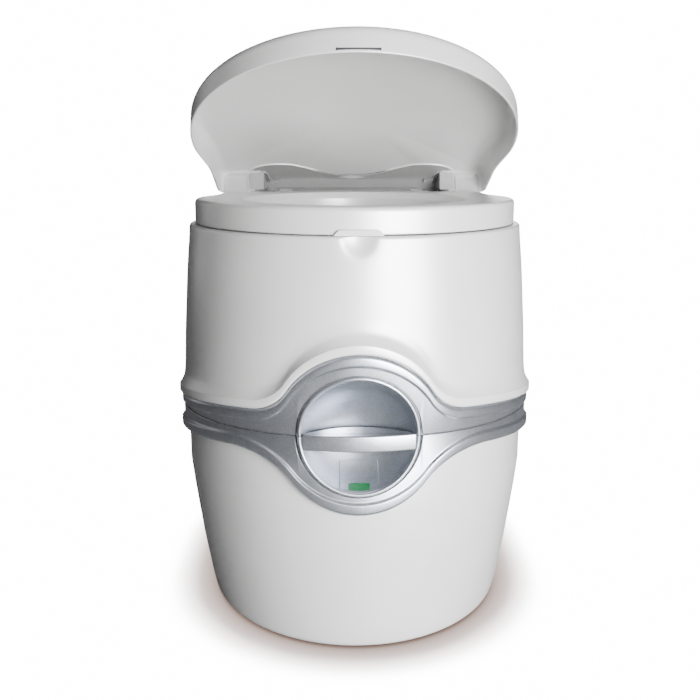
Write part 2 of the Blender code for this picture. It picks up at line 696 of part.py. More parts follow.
def make_flush_tank():
    """The tank's walls and deck; the dish closes the round opening in the front."""
    outer = loft(flush_rings())
    inner_profile = [(0.0142, FLUSH_BASE_Z - 0.002), (0.0142, 0.320), (0.0170, 0.366),
                     (0.0198, 0.402), (0.0215, DECK_Z - WALL)]
    inner = loft([body_ring(inset, z) for inset, z in inner_profile])
    inner = cut(inner, ball(SCOOP_CENTRE, SCOOP_RADIUS + WALL))
    radii = (BOWL_RADII[0] + 0.004, BOWL_RADII[1] + 0.004)
    hole = loft([oval_ring(radii, BOWL_Y, DECK_Z - 0.01), oval_ring(radii, BOWL_Y, DECK_Z + 0.01)])
    pump = rod((*PUMP_SPOT, DECK_Z - 0.01), (*PUMP_SPOT, DECK_Z + 0.01), 0.0160, 24)
    filler = rod((*FILLER_SPOT, DECK_Z - 0.01), (*FILLER_SPOT, DECK_Z + 0.01), 0.0170, 24)
    scoop = ball(SCOOP_CENTRE, SCOOP_RADIUS)
    return cut(outer, dish_plug(GAP), inner, hole, pump, filler, scoop)


add_part("flush_tank_shell", make_flush_tank(), WHITE, 0.22, parent=flush)

BASE_LOW, BASE_HIGH = 0.2290, 0.2320
base = loft([body_ring(0.0146, BASE_LOW), body_ring(0.0146, BASE_HIGH)])
outlet = rod((0, OUTLET_Y, 0.20), (0, OUTLET_Y, 0.25), 0.0440, 28)
add_part("flush_tank_base", cut(base, dish_plug(0.0016 + WALL), outlet), INNER_WHITE, 0.4,
         parent=flush)
add_part("upper_band", belt(band_top, 1, 0.0095, 0.0024, 0.0050), SILVER, 0.35, 0.6,
         parent=flush)
add_part("upper_dish", dish_half(True), SILVER, 0.35, 0.6, parent=flush)


def bowl_rings(wall):
    """The bowl's sections, from its oval mouth down to its round neck."""
    stations = [(DECK_Z, 0.1194, 0.1494), (0.3800, 0.1150, 0.1430), (0.3250, 0.0965, 0.1160),
                (0.2750, 0.0700, 0.0780), (0.2550, 0.0540, 0.0560),
                (0.2420, 0.0430, 0.0430), (0.2285, 0.0430, 0.0430)]
    rings = []
    for z, across, along in stations:
        drop = (DECK_Z - z) / (DECK_Z - 0.242)
        centre = BOWL_Y + (OUTLET_Y - BOWL_Y) * min(drop, 1.0)
        rings.append(oval_ring((across - wall, along - wall), centre, z))
    return rings


bowl = loft(bowl_rings(0.0) + bowl_rings(WALL)[::-1], "loop")
add_part("bowl", bowl, INNER_WHITE, 0.15, parent=flush)
nozzle = soft_box((-0.0180, 0.0960, 0.3880), (0.0180, 0.1075, 0.3970), 0.0025)
add_part("flush_nozzle", nozzle, INNER_WHITE, 0.3, parent=flush)

# the piston pump
pump_tube = [(0.0155, 0.2620), (0.0155, 0.4103), (0.0185, 0.4103), (0.0185, 0.4128),
             (0.0046, 0.4128), (0.0046, 0.4050), (0.0136, 0.4050), (0.0136, 0.2620)]
add_part("pump_cylinder", turned(pump_tube, (*PUMP_SPOT, 0.0), sides=18), DARK, 0.4, parent=flush)
pump_axis = add_axis("pump_plunger", (*PUMP_SPOT, DECK_Z), parent=flush)
add_part("pump_piston", turned([(0.0041, 0.3000), (0.0132, 0.3000), (0.0132, 0.3110),
                                (0.0041, 0.3110)], (*PUMP_SPOT, 0.0), sides=18), DARK, 0.6,
         parent=pump_axis)
add_part("pump_rod", rod((*PUMP_SPOT, 0.2960), (*PUMP_SPOT, 0.4180), 0.0038, 16), STEEL, 0.3, 1.0,
         parent=pump_axis)
knob_profile = [(0.0041, 0.4160), (0.0150, 0.4160), (0.0162, 0.4185), (0.0165, 0.4280),
                (0.0150, 0.4312), (0.0110, 0.4320), (0.0002, 0.4320), (0.0002, 0.4185),
                (0.0041, 0.4185)]
add_part("pump_knob", turned(knob_profile, (*PUMP_SPOT, 0.0), sides=20), SILVER, 0.35, 0.4,
         parent=pump_axis)


def bent_tube(name, points, radius, colour, parent):
    """A tube along points, as a bevelled curve."""
    curve = bpy.data.curves.new(name, "CURVE")
    curve.dimensions = "3D"
    spline = curve.splines.new("POLY")
    spline.points.add(len(points) - 1)
    for point, spot in zip(spline.points, points):
        point.co = (*spot, 1.0)
    curve.bevel_depth = radius
    curve.bevel_resolution = 2
    curve.use_fill_caps = True
    curve.materials.append(finish_material(name, colour, 0.5))
    obj = bpy.data.objects.new(name, curve)
    PARTS.objects.link(obj)
    obj.parent = parent
    obj.matrix_parent_inverse = Matrix.Translation(-parent.location)
    return obj


PIPE_Z = 0.385
bent_tube("flush_pipe", [(-0.1160, 0.1620, PIPE_Z), (-0.0900, 0.1640, PIPE_Z),
                         (-0.0500, 0.1580, PIPE_Z), (-0.0220, 0.1450, PIPE_Z),
                         (-0.0060, 0.1280, PIPE_Z)], 0.0045, INNER_WHITE, flush)

# the water filler and its hinged cap
filler_tube = [(0.0164, 0.3850), (0.0164, 0.4103), (0.0185, 0.4103), (0.0185, 0.4126),
               (0.0145, 0.4126), (0.0145, 0.3850)]
FILLER_PIVOT = Vector((FILLER_SPOT[0] + 0.0210, FILLER_SPOT[1], 0.4160))


def filler_neck():
    tube = turned(filler_tube, (*FILLER_SPOT, 0.0), sides=20)
    x, y, z = FILLER_PIVOT
    lugs = [box((x - 0.0034, y + s * 0.0075 - 0.0013, 0.4110),
                (x + 0.0028, y + s * 0.0075 + 0.0013, 0.4186)) for s in (-1, 1)]
    lugs.append(box((x - 0.0080, y - 0.0088, 0.4105), (x + 0.0028, y + 0.0088, 0.4124)))
    return join(tube, *lugs, rod((x, y - 0.0080, z), (x, y + 0.0080, z), 0.0011, 12))


def filler_cap():
    lid = turned([(0.0175, 0.4130), (0.0180, 0.4150), (0.0170, 0.4172), (0.0130, 0.4180)],
                 (*FILLER_SPOT, 0.0), sides=20, closed=False)
    plug = rod((*FILLER_SPOT, 0.4116), (*FILLER_SPOT, 0.4140), 0.0118, 16)
    x, y, z = FILLER_PIVOT
    web = box((x - 0.0060, y - 0.0050, 0.4142), (x - 0.0005, y + 0.0050, 0.4172))
    sleeve = rod((x, y - 0.0055, z), (x, y + 0.0055, z), 0.0026, 16)
    bore = rod((x, y - 0.0100, z), (x, y + 0.0100, z), 0.0015, 12)
    return cut(join(lid, plug, web, sleeve), bore)


add_part("filler_neck", filler_neck(), INNER_WHITE, 0.4, parent=flush)
filler_axis = add_axis("filler_cap_hinge", FILLER_PIVOT, parent=flush)
add_part("filler_cap", filler_cap(), SILVER, 0.35, 0.4, parent=filler_axis)

# the catch for the lid: a low tab with sloping ends
TAB_Z = DECK_Z + 0.0003
tab_face = [(0.0215 * i / 3, TAB_Z) for i in range(-3, 4)]
tab_face += [(0.0200, TAB_Z + 0.0030)]
tab_face += [(-0.0165 * i / 3, TAB_Z + 0.0055) for i in range(-3, 4)]
tab_face += [(-0.0200, TAB_Z + 0.0030)]
tab_y = [front_y(x, 0.0206) for x, z in tab_face]
tab = loft([[(x, y + step, z) for (x, z), y in zip(tab_face, tab_y)] for step in (0.0, 0.0016)])
add_part("lid_catch_tab", tab, INNER_WHITE, 0.3, parent=flush)

# ---------------------------------------------------------------- the hinge brackets
for side, side_name in ((-1, "left"), (1, "right")):
    base_plate = box((min(side * LUG_IN[0], side * LUG_OUT[1]), 0.1700, 0.4103),
                     (max(side * LUG_IN[0], side * LUG_OUT[1]), 0.1900, 0.4138))
    lugs = []
    for low, high in (LUG_IN, LUG_OUT):
        x0, x1 = sorted((side * low, side * high))
        foot = box((x0, HINGE_Y - 0.0070, 0.4110), (x1, HINGE_Y + 0.0070, HINGE_Z))
        eye = rod((x0, HINGE_Y, HINGE_Z), (x1, HINGE_Y, HINGE_Z), 0.0070, 20)
        lugs += [foot, eye]
    bracket = join(base_plate, *lugs)
    bore = rod((side * 0.05, HINGE_Y, HINGE_Z), (side * 0.15, HINGE_Y, HINGE_Z), BORE_RADIUS, 16)
    add_part("hinge_bracket_" + side_name, cut(bracket, bore), INNER_WHITE, 0.3, parent=flush)
    pin = rod((side * 0.0730, HINGE_Y, HINGE_Z), (side * 0.1085, HINGE_Y, HINGE_Z), PIN_RADIUS, 16)
    add_part("hinge_pin_" + side_name, pin, STEEL, 0.3, 1.0, parent=flush)
screw_spots = [(x, y) for x in (-0.0908, 0.0908) for y in (0.1735, 0.1865)]
for number, (x, y) in enumerate(screw_spots, 1):
    add_part(f"hinge_screw_{number}", rod((x, y, 0.4141), (x, y, 0.4156), 0.0024, 12), STEEL, 0.3,
             1.0, parent=flush)


# ---------------------------------------------------------------- the seat and the lid
def quarter(centre, radius, start, steps):
    """Points of a quarter circle from an angle, counterclockwise for a positive radius."""
    turn = math.copysign(math.pi / 2, radius)
    size = abs(radius)
    return [(centre[0] + size * math.cos(start + turn * i / steps),
             centre[1] + size * math.sin(start + turn * i / steps)) for i in range(steps + 1)]


def cover_outline(half, front, shoulder, ease_y, ledge_y, neck, end_y):
    """A closed outline: an elliptic front, narrowing sides, a shoulder in to a narrow neck."""
    corner, hollow = 0.0140, 0.0080
    side = [(half * math.sin(a), WIDEST_Y - front * math.cos(a))
            for a in [math.pi / 2 * i / 10 for i in range(10)]]
    for i in range(4):
        ease = 0.5 * (1 + math.cos(math.pi * i / 4))
        side.append((shoulder + (half - shoulder) * ease,
                     WIDEST_Y + (ease_y - WIDEST_Y) * i / 4))
    side.append((shoulder, ease_y))
    side += quarter((shoulder - corner, ledge_y - corner), corner, 0.0, 3)
    side += quarter((neck + hollow, ledge_y + hollow), -hollow, 1.5 * math.pi, 2)
    side += quarter((neck - corner, end_y - corner), corner, 0.0, 3)
    side.append((neck * 0.4, end_y))
    mirrored = [(-x, y) for x, y in side[:0:-1]]
    return [Vector(p) for p in side + [(0.0, end_y)] + mirrored]


def draw_in(outline, distance):
    """The outline moved inwards along its own normals."""
    moved = []
    count = len(outline)
    for i, point in enumerate(outline):
        along = (outline[(i + 1) % count] - outline[i - 1]).normalized()
        moved.append(point + distance * Vector((-along.y, along.x)))
    return moved


LID_OUTLINE = cover_outline(0.1742, 0.1945, 0.1650, 0.0660, 0.1290, 0.1120, 0.1660)
SEAT_OUTLINE = cover_outline(0.1705, 0.1875, 0.1585, 0.0600, 0.1220, 0.1000, 0.1480)
SEAT_HOLE = (0.1100, 0.1370)
SEAT_HOLE_Y = -0.0380


def add_knuckles(mesh, station, start_y, low_z, high_z):
    """A cover with its two hinge arms joined on and their bores cut."""
    pieces, bores = [], []
    for side in (-1, 1):
        x0, x1 = sorted((side * station[0], side * station[1]))
        pieces.append(box((x0, start_y, low_z), (x1, HINGE_Y, high_z)))
        pieces.append(rod((x0, HINGE_Y, HINGE_Z), (x1, HINGE_Y, HINGE_Z), KNUCKLE_RADIUS, 16))
        bores.append(rod((x0 - 0.01, HINGE_Y, HINGE_Z), (x1 + 0.01, HINGE_Y, HINGE_Z),
                         BORE_RADIUS, 12))
    return cut(join(mesh, *pieces), *bores)


def make_seat():
    """A rounded ring, hollow underneath like a moulded seat, with its two hinge arms."""
    wall = 0.0032

    def outer(distance, z):
        return [(p.x, p.y, z) for p in draw_in(SEAT_OUTLINE, distance)]

    def hole(grow, z):
        ring = []
        for p in SEAT_OUTLINE:
            a = math.atan2(p.x / SEAT_HOLE[0], -(p.y - SEAT_HOLE_Y) / SEAT_HOLE[1])
            ring.append(((SEAT_HOLE[0] + grow) * math.sin(a),
                         SEAT_HOLE_Y - (SEAT_HOLE[1] + grow) * math.cos(a), z))
        return ring

    rings = [outer(0.0, SEAT_BOTTOM), outer(0.0, 0.4306), outer(0.0016, 0.4338),
             outer(0.0050, 0.4354), outer(0.0110, SEAT_TOP), hole(0.0100, 0.4345),
             hole(0.0030, 0.4315), hole(0.0, 0.4260), hole(0.0, 0.4150),
             hole(wall, 0.4150), hole(wall, 0.4260), hole(0.0110, 0.4312),
             outer(0.0145, 0.4326), outer(0.0065, 0.4296), outer(wall, 0.4230),
             outer(wall, SEAT_BOTTOM)]
    seat = loft(rings, "loop")
    return add_knuckles(seat, SEAT_KNUCKLE, 0.1462, 0.4210, 0.4296)


seat_axis = add_axis("seat_hinge", (0, HINGE_Y, HINGE_Z), parent=flush)
add_part("seat", make_seat(), WHITE, 0.2, parent=seat_axis)
bumper_spots = [(-0.1410, -0.0400), (0.1410, -0.0400), (-0.0850, 0.1230), (0.0850, 0.1230)]
for number, (x, y) in enumerate(bumper_spots, 1):
    add_part(f"seat_bumper_{number}", rod((x, y, DECK_Z + 0.0004), (x, y, 0.4304), 0.0060, 16),
             DARK, 0.8, parent=seat_axis)


def lid_rings(wall):
    """The lid's sections from its rim up over its round edge and across its crown."""
    outline = draw_in(LID_OUTLINE, wall)
    top_edge = LID_TOP - wall
    bend = COVER_ROUND - wall
    rings = [[(p.x, p.y, LID_BOTTOM) for p in outline]]
    for step in range(4):
        a = math.pi / 2 * step / 3
        z = top_edge - bend * (1 - math.sin(a))
        rings.append([(p.x, p.y, z) for p in draw_in(outline, bend * (1 - math.cos(a)))])
    rim = draw_in(outline, bend)
    middle = Vector((0.0, -0.0150))
    for share in (0.70, 0.30):
        z = top_edge + LID_CROWN * (1 - share ** 2)
        rings.append([(*(middle + (p - middle) * share), z) for p in rim])
    return rings


def make_lid():
    """A shallow domed cover with a skirt, its hinge arms and the slot for the catch."""
    shell = loft(lid_rings(LID_WALL)[::-1] + lid_rings(0.0))
    rear_gap = box((-0.1300, 0.1500, 0.4000), (0.1300, 0.1750, 0.4245))
    arm_gaps = [box((x - 0.0080, 0.1500, 0.4000), (x + 0.0080, 0.1750, 0.4304))
                for x in (-0.0845, 0.0845)]
    slot = box((-0.0195, -0.2200, 0.4128), (0.0195, -0.2000, 0.4150))
    shell = cut(shell, rear_gap, *arm_gaps, slot)
    return add_knuckles(shell, LID_KNUCKLE, 0.1460, 0.4343, 0.4386)


lid = make_lid()
turn_about(lid, Vector((0, HINGE_Y, HINGE_Z)), -LID_OPEN)
lid_axis = add_axis("lid_hinge", (0, HINGE_Y, HINGE_Z), parent=seat_axis)
add_part("lid", lid, WHITE, 0.2, parent=lid_axis)
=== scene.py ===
"""The look of a portable camp toilet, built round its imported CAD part.

Every piece is made in the CAD's own frame: metres, +Z up, the front towards -Y, the floor at
z = 0. The body is drawn as closed outlines round a vertical axis; a section is the outline
drawn in by its "inset". A piece that replaces a CAD node carries that node's shape with finer
rounding and the detail that the node leaves out.
"""

import math

import bmesh
import bpy
from mathutils import Matrix, Vector
from mathutils.bvhtree import BVHTree


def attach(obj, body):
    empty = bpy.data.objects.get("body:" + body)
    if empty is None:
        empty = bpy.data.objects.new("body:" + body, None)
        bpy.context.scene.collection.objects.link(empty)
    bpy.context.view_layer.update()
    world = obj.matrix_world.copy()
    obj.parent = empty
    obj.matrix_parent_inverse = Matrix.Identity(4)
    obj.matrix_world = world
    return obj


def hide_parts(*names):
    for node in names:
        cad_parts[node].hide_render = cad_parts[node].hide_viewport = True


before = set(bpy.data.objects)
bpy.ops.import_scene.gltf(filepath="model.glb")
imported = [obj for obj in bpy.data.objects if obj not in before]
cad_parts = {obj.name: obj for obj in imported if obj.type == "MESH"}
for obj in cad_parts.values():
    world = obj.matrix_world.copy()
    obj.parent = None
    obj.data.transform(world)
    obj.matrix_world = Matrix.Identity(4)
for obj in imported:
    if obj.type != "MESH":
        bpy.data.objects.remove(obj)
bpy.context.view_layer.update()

# ---------------------------------------------------------------- the CAD's dimensions, metres
HALF_WIDTH = 0.194
WIDEST_Y = -0.014
FRONT_REACH = 0.211
REAR_REACH = 0.233
REAR_POWER = 6.0
SEAM_Z = 0.229
SEAM_DROP = 0.0125
EDGE_DROP = 0.0290
BAND_BACK = 0.0082
BODY_UNDER_BAND = 0.0092
UPPER_EDGE = (0.0245, 0.0775, 0.038)    # rise beside the arch, arch radius, fillet at its foot
LOWER_EDGE = (0.0140, 0.0755, 0.080)
DISH_RADIUS = 0.0535
DISH_DEPTH = 0.036
DISH_FLANGE = 0.0572
DISH_WALL = 0.0022
DISH_INSET, DISH_REST = 0.0042, 0.0066    # of its face and of the back of its flange
GAP = 0.0004
WALL = 0.003
WASTE_DECK_Z = 0.212
WASTE_TOP_Z = 0.2186
FLUSH_BASE_Z = 0.2190
DECK_Z = 0.410
BOWL_Y = -0.030
BOWL_RADII = (0.116, 0.146)
OUTLET_Y = -0.020
HINGE_Y, HINGE_Z = 0.181, 0.430
LID_OPEN = math.radians(23.5)
SEAT_BOTTOM, SEAT_TOP = 0.4112, 0.4360
LID_BOTTOM, LID_TOP = 0.4107, 0.4405
LID_ROUND = 0.0125
LID_WALL = 0.0024
LID_CROWN = 0.0075
BORE_RADIUS = 0.0033
SEAT_KNUCKLE, LID_KNUCKLE = (0.0785, 0.0905), (0.0910, 0.1030)


# ---------------------------------------------------------------- materials
def shading(name, roughness, **sockets):
    """A Principled material, its constant sockets set on the shader itself."""
    material = bpy.data.materials.new(name)
    material.use_nodes = True
    tree = material.node_tree
    shader = tree.nodes["Principled BSDF"]
    shader.inputs["Roughness"].default_value = roughness
    for socket, value in sockets.items():
        shader.inputs[socket.replace("_", " ")].default_value = value
    place = tree.nodes.new("ShaderNodeTexCoord").outputs["Object"]
    return material, tree, shader, place


def noise(tree, place, scale, detail=3.0, roughness=0.55):
    texture = tree.nodes.new("ShaderNodeTexNoise")
    texture.inputs["Scale"].default_value = scale
    texture.inputs["Detail"].default_value = detail
    texture.inputs["Roughness"].default_value = roughness
    tree.links.new(place, texture.inputs["Vector"])
    return texture.outputs["Fac"]


def ramp(tree, factor, stops):
    """Colours along a factor: [(position, (r, g, b)), ...]."""
    band = tree.nodes.new("ShaderNodeValToRGB")
    band.color_ramp.elements[0].position = stops[0][0]
    band.color_ramp.elements[0].color = (*stops[0][1], 1.0)
    band.color_ramp.elements[1].position = stops[-1][0]
    band.color_ramp.elements[1].color = (*stops[-1][1], 1.0)
    for position, colour in stops[1:-1]:
        band.color_ramp.elements.new(position).color = (*colour, 1.0)
    tree.links.new(factor, band.inputs["Fac"])
    return band.outputs["Color"]


def spread(tree, factor, low, high):
    """A factor's middle part stretched over a range of values."""
    reach = tree.nodes.new("ShaderNodeMapRange")
    for socket, value in (("From Min", 0.3), ("From Max", 0.7), ("To Min", low), ("To Max", high)):
        reach.inputs[socket].default_value = value
    tree.links.new(factor, reach.inputs["Value"])
    return reach.outputs["Result"]


def bump(tree, shader, height, depth, strength):
    """Relief of a depth in metres."""
    relief = tree.nodes.new("ShaderNodeBump")
    relief.inputs["Strength"].default_value = strength
    relief.inputs["Distance"].default_value = depth
    tree.links.new(height, relief.inputs["Height"])
    tree.links.new(relief.outputs["Normal"], shader.inputs["Normal"])


def moulded(name, low, high, rough, grain, depth, strength, **sockets):
    """Moulded plastic: a faintly cloudy colour, gloss that wanders a little, a fine grain."""
    material, tree, shader, place = shading(name, rough[0], **sockets)
    cloud = noise(tree, place, 14.0)
    tree.links.new(ramp(tree, cloud, [(0.30, low), (0.70, high)]), shader.inputs["Base Color"])
    sheen = noise(tree, place, 55.0, 4.0)
    tree.links.new(spread(tree, sheen, *rough), shader.inputs["Roughness"])
    bump(tree, shader, noise(tree, place, grain, 2.0), depth, strength)
    return material


def flaked(name, low, high, rough, metallic):
    """Metallic paint: small flakes of slightly different brightness under a clear coat."""
    material, tree, shader, place = shading(name, rough[0], Metallic=metallic, Coat_Weight=0.35,
                                            Coat_Roughness=0.08)
    flakes = tree.nodes.new("ShaderNodeTexVoronoi")
    flakes.inputs["Scale"].default_value = 1500.0
    tree.links.new(place, flakes.inputs["Vector"])
    split = tree.nodes.new("ShaderNodeSeparateColor")
    tree.links.new(flakes.outputs["Color"], split.inputs["Color"])
    tree.links.new(ramp(tree, split.outputs["Red"], [(0.0, low), (1.0, high)]),
                   shader.inputs["Base Color"])
    tree.links.new(spread(tree, noise(tree, place, 40.0), *rough), shader.inputs["Roughness"])
    bump(tree, shader, split.outputs["Green"], 0.00002, 0.25)
    return material


def brushed(name, low, high, rough):
    """Drawn steel: fine streaks along X."""
    material, tree, shader, place = shading(name, rough[0], Metallic=1.0)
    stretch = tree.nodes.new("ShaderNodeMapping")
    stretch.inputs["Scale"].default_value = (40.0, 1800.0, 1800.0)
    tree.links.new(place, stretch.inputs["Vector"])
    streaks = noise(tree, stretch.outputs["Vector"], 1.0, 2.0)
    tree.links.new(ramp(tree, streaks, [(0.3, low), (0.7, high)]), shader.inputs["Base Color"])
    tree.links.new(spread(tree, streaks, *rough), shader.inputs["Roughness"])
    bump(tree, shader, streaks, 0.00002, 0.3)
    return material


WHITE = moulded("white_moulded", (0.47, 0.47, 0.467), (0.51, 0.51, 0.507), (0.36, 0.42), 650.0,
                0.00003, 0.08, Specular_IOR_Level=0.8, Coat_Weight=1.0, Coat_IOR=2.2,
                Coat_Roughness=0.34)
INNER_WHITE = moulded("white_inner", (0.72, 0.72, 0.70), (0.77, 0.77, 0.755), (0.30, 0.40),
                      500.0, 0.00005, 0.25)
# painted shade: a dark grey for the sheet laid over the lid's recess in front of the hinges
SHADED_WHITE = moulded("painted_shade_inner_panel", (0.20, 0.20, 0.20), (0.23, 0.23, 0.23), (0.40, 0.50),
                       500.0, 0.00004, 0.15)
# painted shade: a mid grey for the lid's rear ledge walls, so they look as dim as the shaded
# ceiling beside them
PAINTED_SOFT_SHADE = moulded("painted_shade_shoulder", (0.29, 0.29, 0.29), (0.32, 0.32, 0.32), (0.40, 0.50),
                    500.0, 0.00004, 0.15)
# painted shade: a near-black grey for the lid's rear recess and rear wall, which the light hardly
# reaches
PAINTED_DEEP_SHADE = moulded("painted_shade_rear_wall", (0.085, 0.085, 0.085), (0.105, 0.105, 0.105), (0.45, 0.55),
                    500.0, 0.00004, 0.15)
SILVER = flaked("silver_paint", (0.36, 0.38, 0.42), (0.47, 0.495, 0.54), (0.29, 0.36), 0.94)
DARK = moulded("dark_moulded", (0.022, 0.022, 0.024), (0.034, 0.034, 0.036), (0.42, 0.55),
               900.0, 0.00008, 0.5)
GREEN = moulded("green_lens", (0.002, 0.085, 0.022), (0.004, 0.12, 0.032), (0.08, 0.13), 300.0,
                0.00003, 0.2, Transmission_Weight=0.25, Coat_Weight=0.6)
RUBBER = moulded("black_rubber", (0.014, 0.014, 0.014), (0.024, 0.023, 0.022), (0.68, 0.85),
                 1200.0, 0.00010, 0.6)
STEEL = brushed("drawn_steel", (0.50, 0.50, 0.51), (0.62, 0.62, 0.63), (0.22, 0.34))
SLOT_FINISH = {"white_plastic": WHITE, "inner_white_plastic": INNER_WHITE,
               "silver_plastic": SILVER, "dark_plastic": DARK, "green_plastic": GREEN,
               "black_rubber": RUBBER, "steel": STEEL}


# ---------------------------------------------------------------- meshes
def mesh_of(rows, ends="open", around=True):
    """Skin rows of points. ends: "open", "cap" or "loop"; around joins each row's ends."""
    count = len(rows[0])
    points = [tuple(p) for row in rows for p in row]
    faces = []
    last = len(rows) if ends == "loop" else len(rows) - 1
    for r in range(last):
        low, high = r * count, (r + 1) % len(rows) * count
        for i in range(count if around else count - 1):
            j = (i + 1) % count
            faces.append((low + i, low + j, high + j, high + i))
    if ends == "cap":
        faces.append(tuple(range(count)))
        faces.append(tuple(range(len(points) - count, len(points))))
    mesh = bpy.data.meshes.new("shape")
    mesh.from_pydata(points, [], faces)
    return outward(mesh)


def outward(mesh):
    bm = bmesh.new()
    bm.from_mesh(mesh)
    bmesh.ops.remove_doubles(bm, verts=bm.verts, dist=0.000005)
    bmesh.ops.dissolve_degenerate(bm, edges=bm.edges, dist=0.000005)
    bmesh.ops.recalc_face_normals(bm, faces=bm.faces)
    bm.to_mesh(mesh)
    bm.free()
    return mesh


def combine(mesh, others, operation):
    """The mesh with the others cut away or joined on."""
    target = bpy.data.objects.new("target", mesh)
    bpy.context.scene.collection.objects.link(target)
    tools = []
    for other in others:
        tool = bpy.data.objects.new("tool", other)
        bpy.context.scene.collection.objects.link(tool)
        tools.append(tool)
        modifier = target.modifiers.new("combine", "BOOLEAN")
        modifier.operation = operation
        modifier.solver = "EXACT"
        modifier.object = tool
    graph = bpy.context.evaluated_depsgraph_get()
    result = bpy.data.meshes.new_from_object(target.evaluated_get(graph))
    for obj in [target, *tools]:
        bpy.data.objects.remove(obj, do_unlink=True)
    return result


def cut(mesh, *cutters):
    return combine(mesh, cutters, "DIFFERENCE")


def join(mesh, *others):
    return combine(mesh, others, "UNION")


def closed_sheet(front, back):
    """A thin sheet between two equal grids of points."""
    sheet = mesh_of(front + back[::-1], "loop", around=False)
    bm = bmesh.new()
    bm.from_mesh(sheet)
    bmesh.ops.holes_fill(bm, edges=[e for e in bm.edges if e.is_boundary], sides=0)
    bmesh.ops.recalc_face_normals(bm, faces=bm.faces)
    bm.to_mesh(sheet)
    bm.free()
    return sheet


def together(*meshes):
    """Several meshes as one, without joining their surfaces."""
    bm = bmesh.new()
    for mesh in meshes:
        bm.from_mesh(mesh)
    whole = bpy.data.meshes.new("shape")
    bm.to_mesh(whole)
    bm.free()
    return whole


def box(low, high, radius=0.0, segments=3):
    """A box, its edges rounded by a radius."""
    bm = bmesh.new()
    bmesh.ops.create_cube(bm, size=1.0)
    low, high = Vector(low), Vector(high)
    for vert in bm.verts:
        vert.co = Vector([(low[k] + high[k]) / 2 + vert.co[k] * (high[k] - low[k])
                          for k in range(3)])
    if radius:
        bmesh.ops.bevel(bm, geom=bm.edges[:], offset=radius, segments=segments, profile=0.5,
                        affect="EDGES")
    mesh = bpy.data.meshes.new("box")
    bm.to_mesh(mesh)
    bm.free()
    return mesh


def turned(profile, centre=(0, 0, 0), axis=(0, 0, 1), sides=64, ends="loop"):
    """A shape turned about an axis from (radius, height) points."""
    turn = Vector((0, 0, 1)).rotation_difference(Vector(axis)).to_matrix()
    place = Vector(centre)
    rows = []
    for radius, height in profile:
        rows.append([place + turn @ Vector((radius * math.cos(a), radius * math.sin(a), height))
                     for a in [2 * math.pi * i / sides for i in range(sides)]])
    return mesh_of(rows, ends)


def rod(start, end, radius, sides=48, soft=0.0):
    """A round bar from start to end, its end edges rounded."""
    start, end = Vector(start), Vector(end)
    length = (end - start).length
    profile = [(radius, 0.0), (radius, length)]
    if soft:
        arc = [math.pi / 2 * i / 3 for i in range(4)]
        profile = [(radius - soft + soft * math.sin(a), soft - soft * math.cos(a)) for a in arc]
        profile += [(radius - soft + soft * math.cos(a), length - soft + soft * math.sin(a))
                    for a in arc]
    return turned(profile, start, end - start, sides, "cap")


def tube(path, radius, sides=16, closed=False):
    """A round tube along points, its ends closed."""
    points = [Vector(p) for p in path]
    rows = []
    count = len(points)
    side = None
    for i, point in enumerate(points):
        ahead = points[(i + 1) % count] if closed or i < count - 1 else point
        behind = points[i - 1] if closed or i else point
        along = (ahead - behind).normalized()
        if side is None:
            side = along.orthogonal().normalized()
        side = (side - along * side.dot(along)).normalized()
        up = along.cross(side)
        rows.append([point + radius * (side * math.cos(a) + up * math.sin(a))
                     for a in [2 * math.pi * k / sides for k in range(sides)]])
    return mesh_of(rows, "loop" if closed else "cap")


def spline(points, steps=4):
    """Points along a smooth curve through the given ones."""
    ghosts = [tuple(2 * a - b for a, b in zip(points[0], points[1])), *points,
              tuple(2 * a - b for a, b in zip(points[-1], points[-2]))]
    line = []
    for i in range(1, len(ghosts) - 2):
        p = ghosts[i - 1:i + 3]
        t = [0.0]
        for a, b in zip(p, p[1:]):
            t.append(t[-1] + max(math.dist(a, b), 1e-6) ** 0.5)
        for s in range(steps):
            u = t[1] + (t[2] - t[1]) * s / steps
            level = list(p)
            for order in (1, 2, 3):
                merged = []
                for k in range(len(level) - 1):
                    if order == 1:
                        left, right = t[k], t[k + 1]
                    elif order == 2:
                        left, right = t[k], t[k + 2]
                    else:
                        left, right = t[1], t[2]
                    share = (u - left) / (right - left)
                    merged.append(tuple(a + (b - a) * share
                                        for a, b in zip(level[k], level[k + 1])))
                level = merged
            line.append(level[0])
    line.append(tuple(points[-1]))
    return line


def soften(points, radius, steps=3, closed=False):
    """The line with each corner rounded, cut back by the radius at most."""
    line = []
    count = len(points)
    for i, point in enumerate(points):
        if not closed and i in (0, count - 1):
            line.append(tuple(point))
            continue
        here = Vector(point)
        before, after = Vector(points[i - 1]), Vector(points[(i + 1) % count])
        first = here + (before - here) * min(0.5, radius / max((before - here).length, 1e-9))
        second = here + (after - here) * min(0.5, radius / max((after - here).length, 1e-9))
        for s in range(steps + 1):
            t = s / steps
            line.append(tuple(first * (1 - t) ** 2 + here * 2 * t * (1 - t) + second * t ** 2))
    return line


def piece(name, mesh, body, slot, replaced=(), finish=None, angle=32):
    """Put a mesh in the scene as a piece that rides on a body and has a slot's finish."""
    obj = bpy.data.objects.new(name, mesh)
    bpy.context.scene.collection.objects.link(obj)
    mesh.materials.clear()
    mesh.materials.append(finish or SLOT_FINISH[slot])
    mesh.shade_smooth()
    mesh.set_sharp_from_angle(angle=math.radians(angle))
    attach(obj, body)
    if replaced:
        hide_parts(*replaced)
    return obj


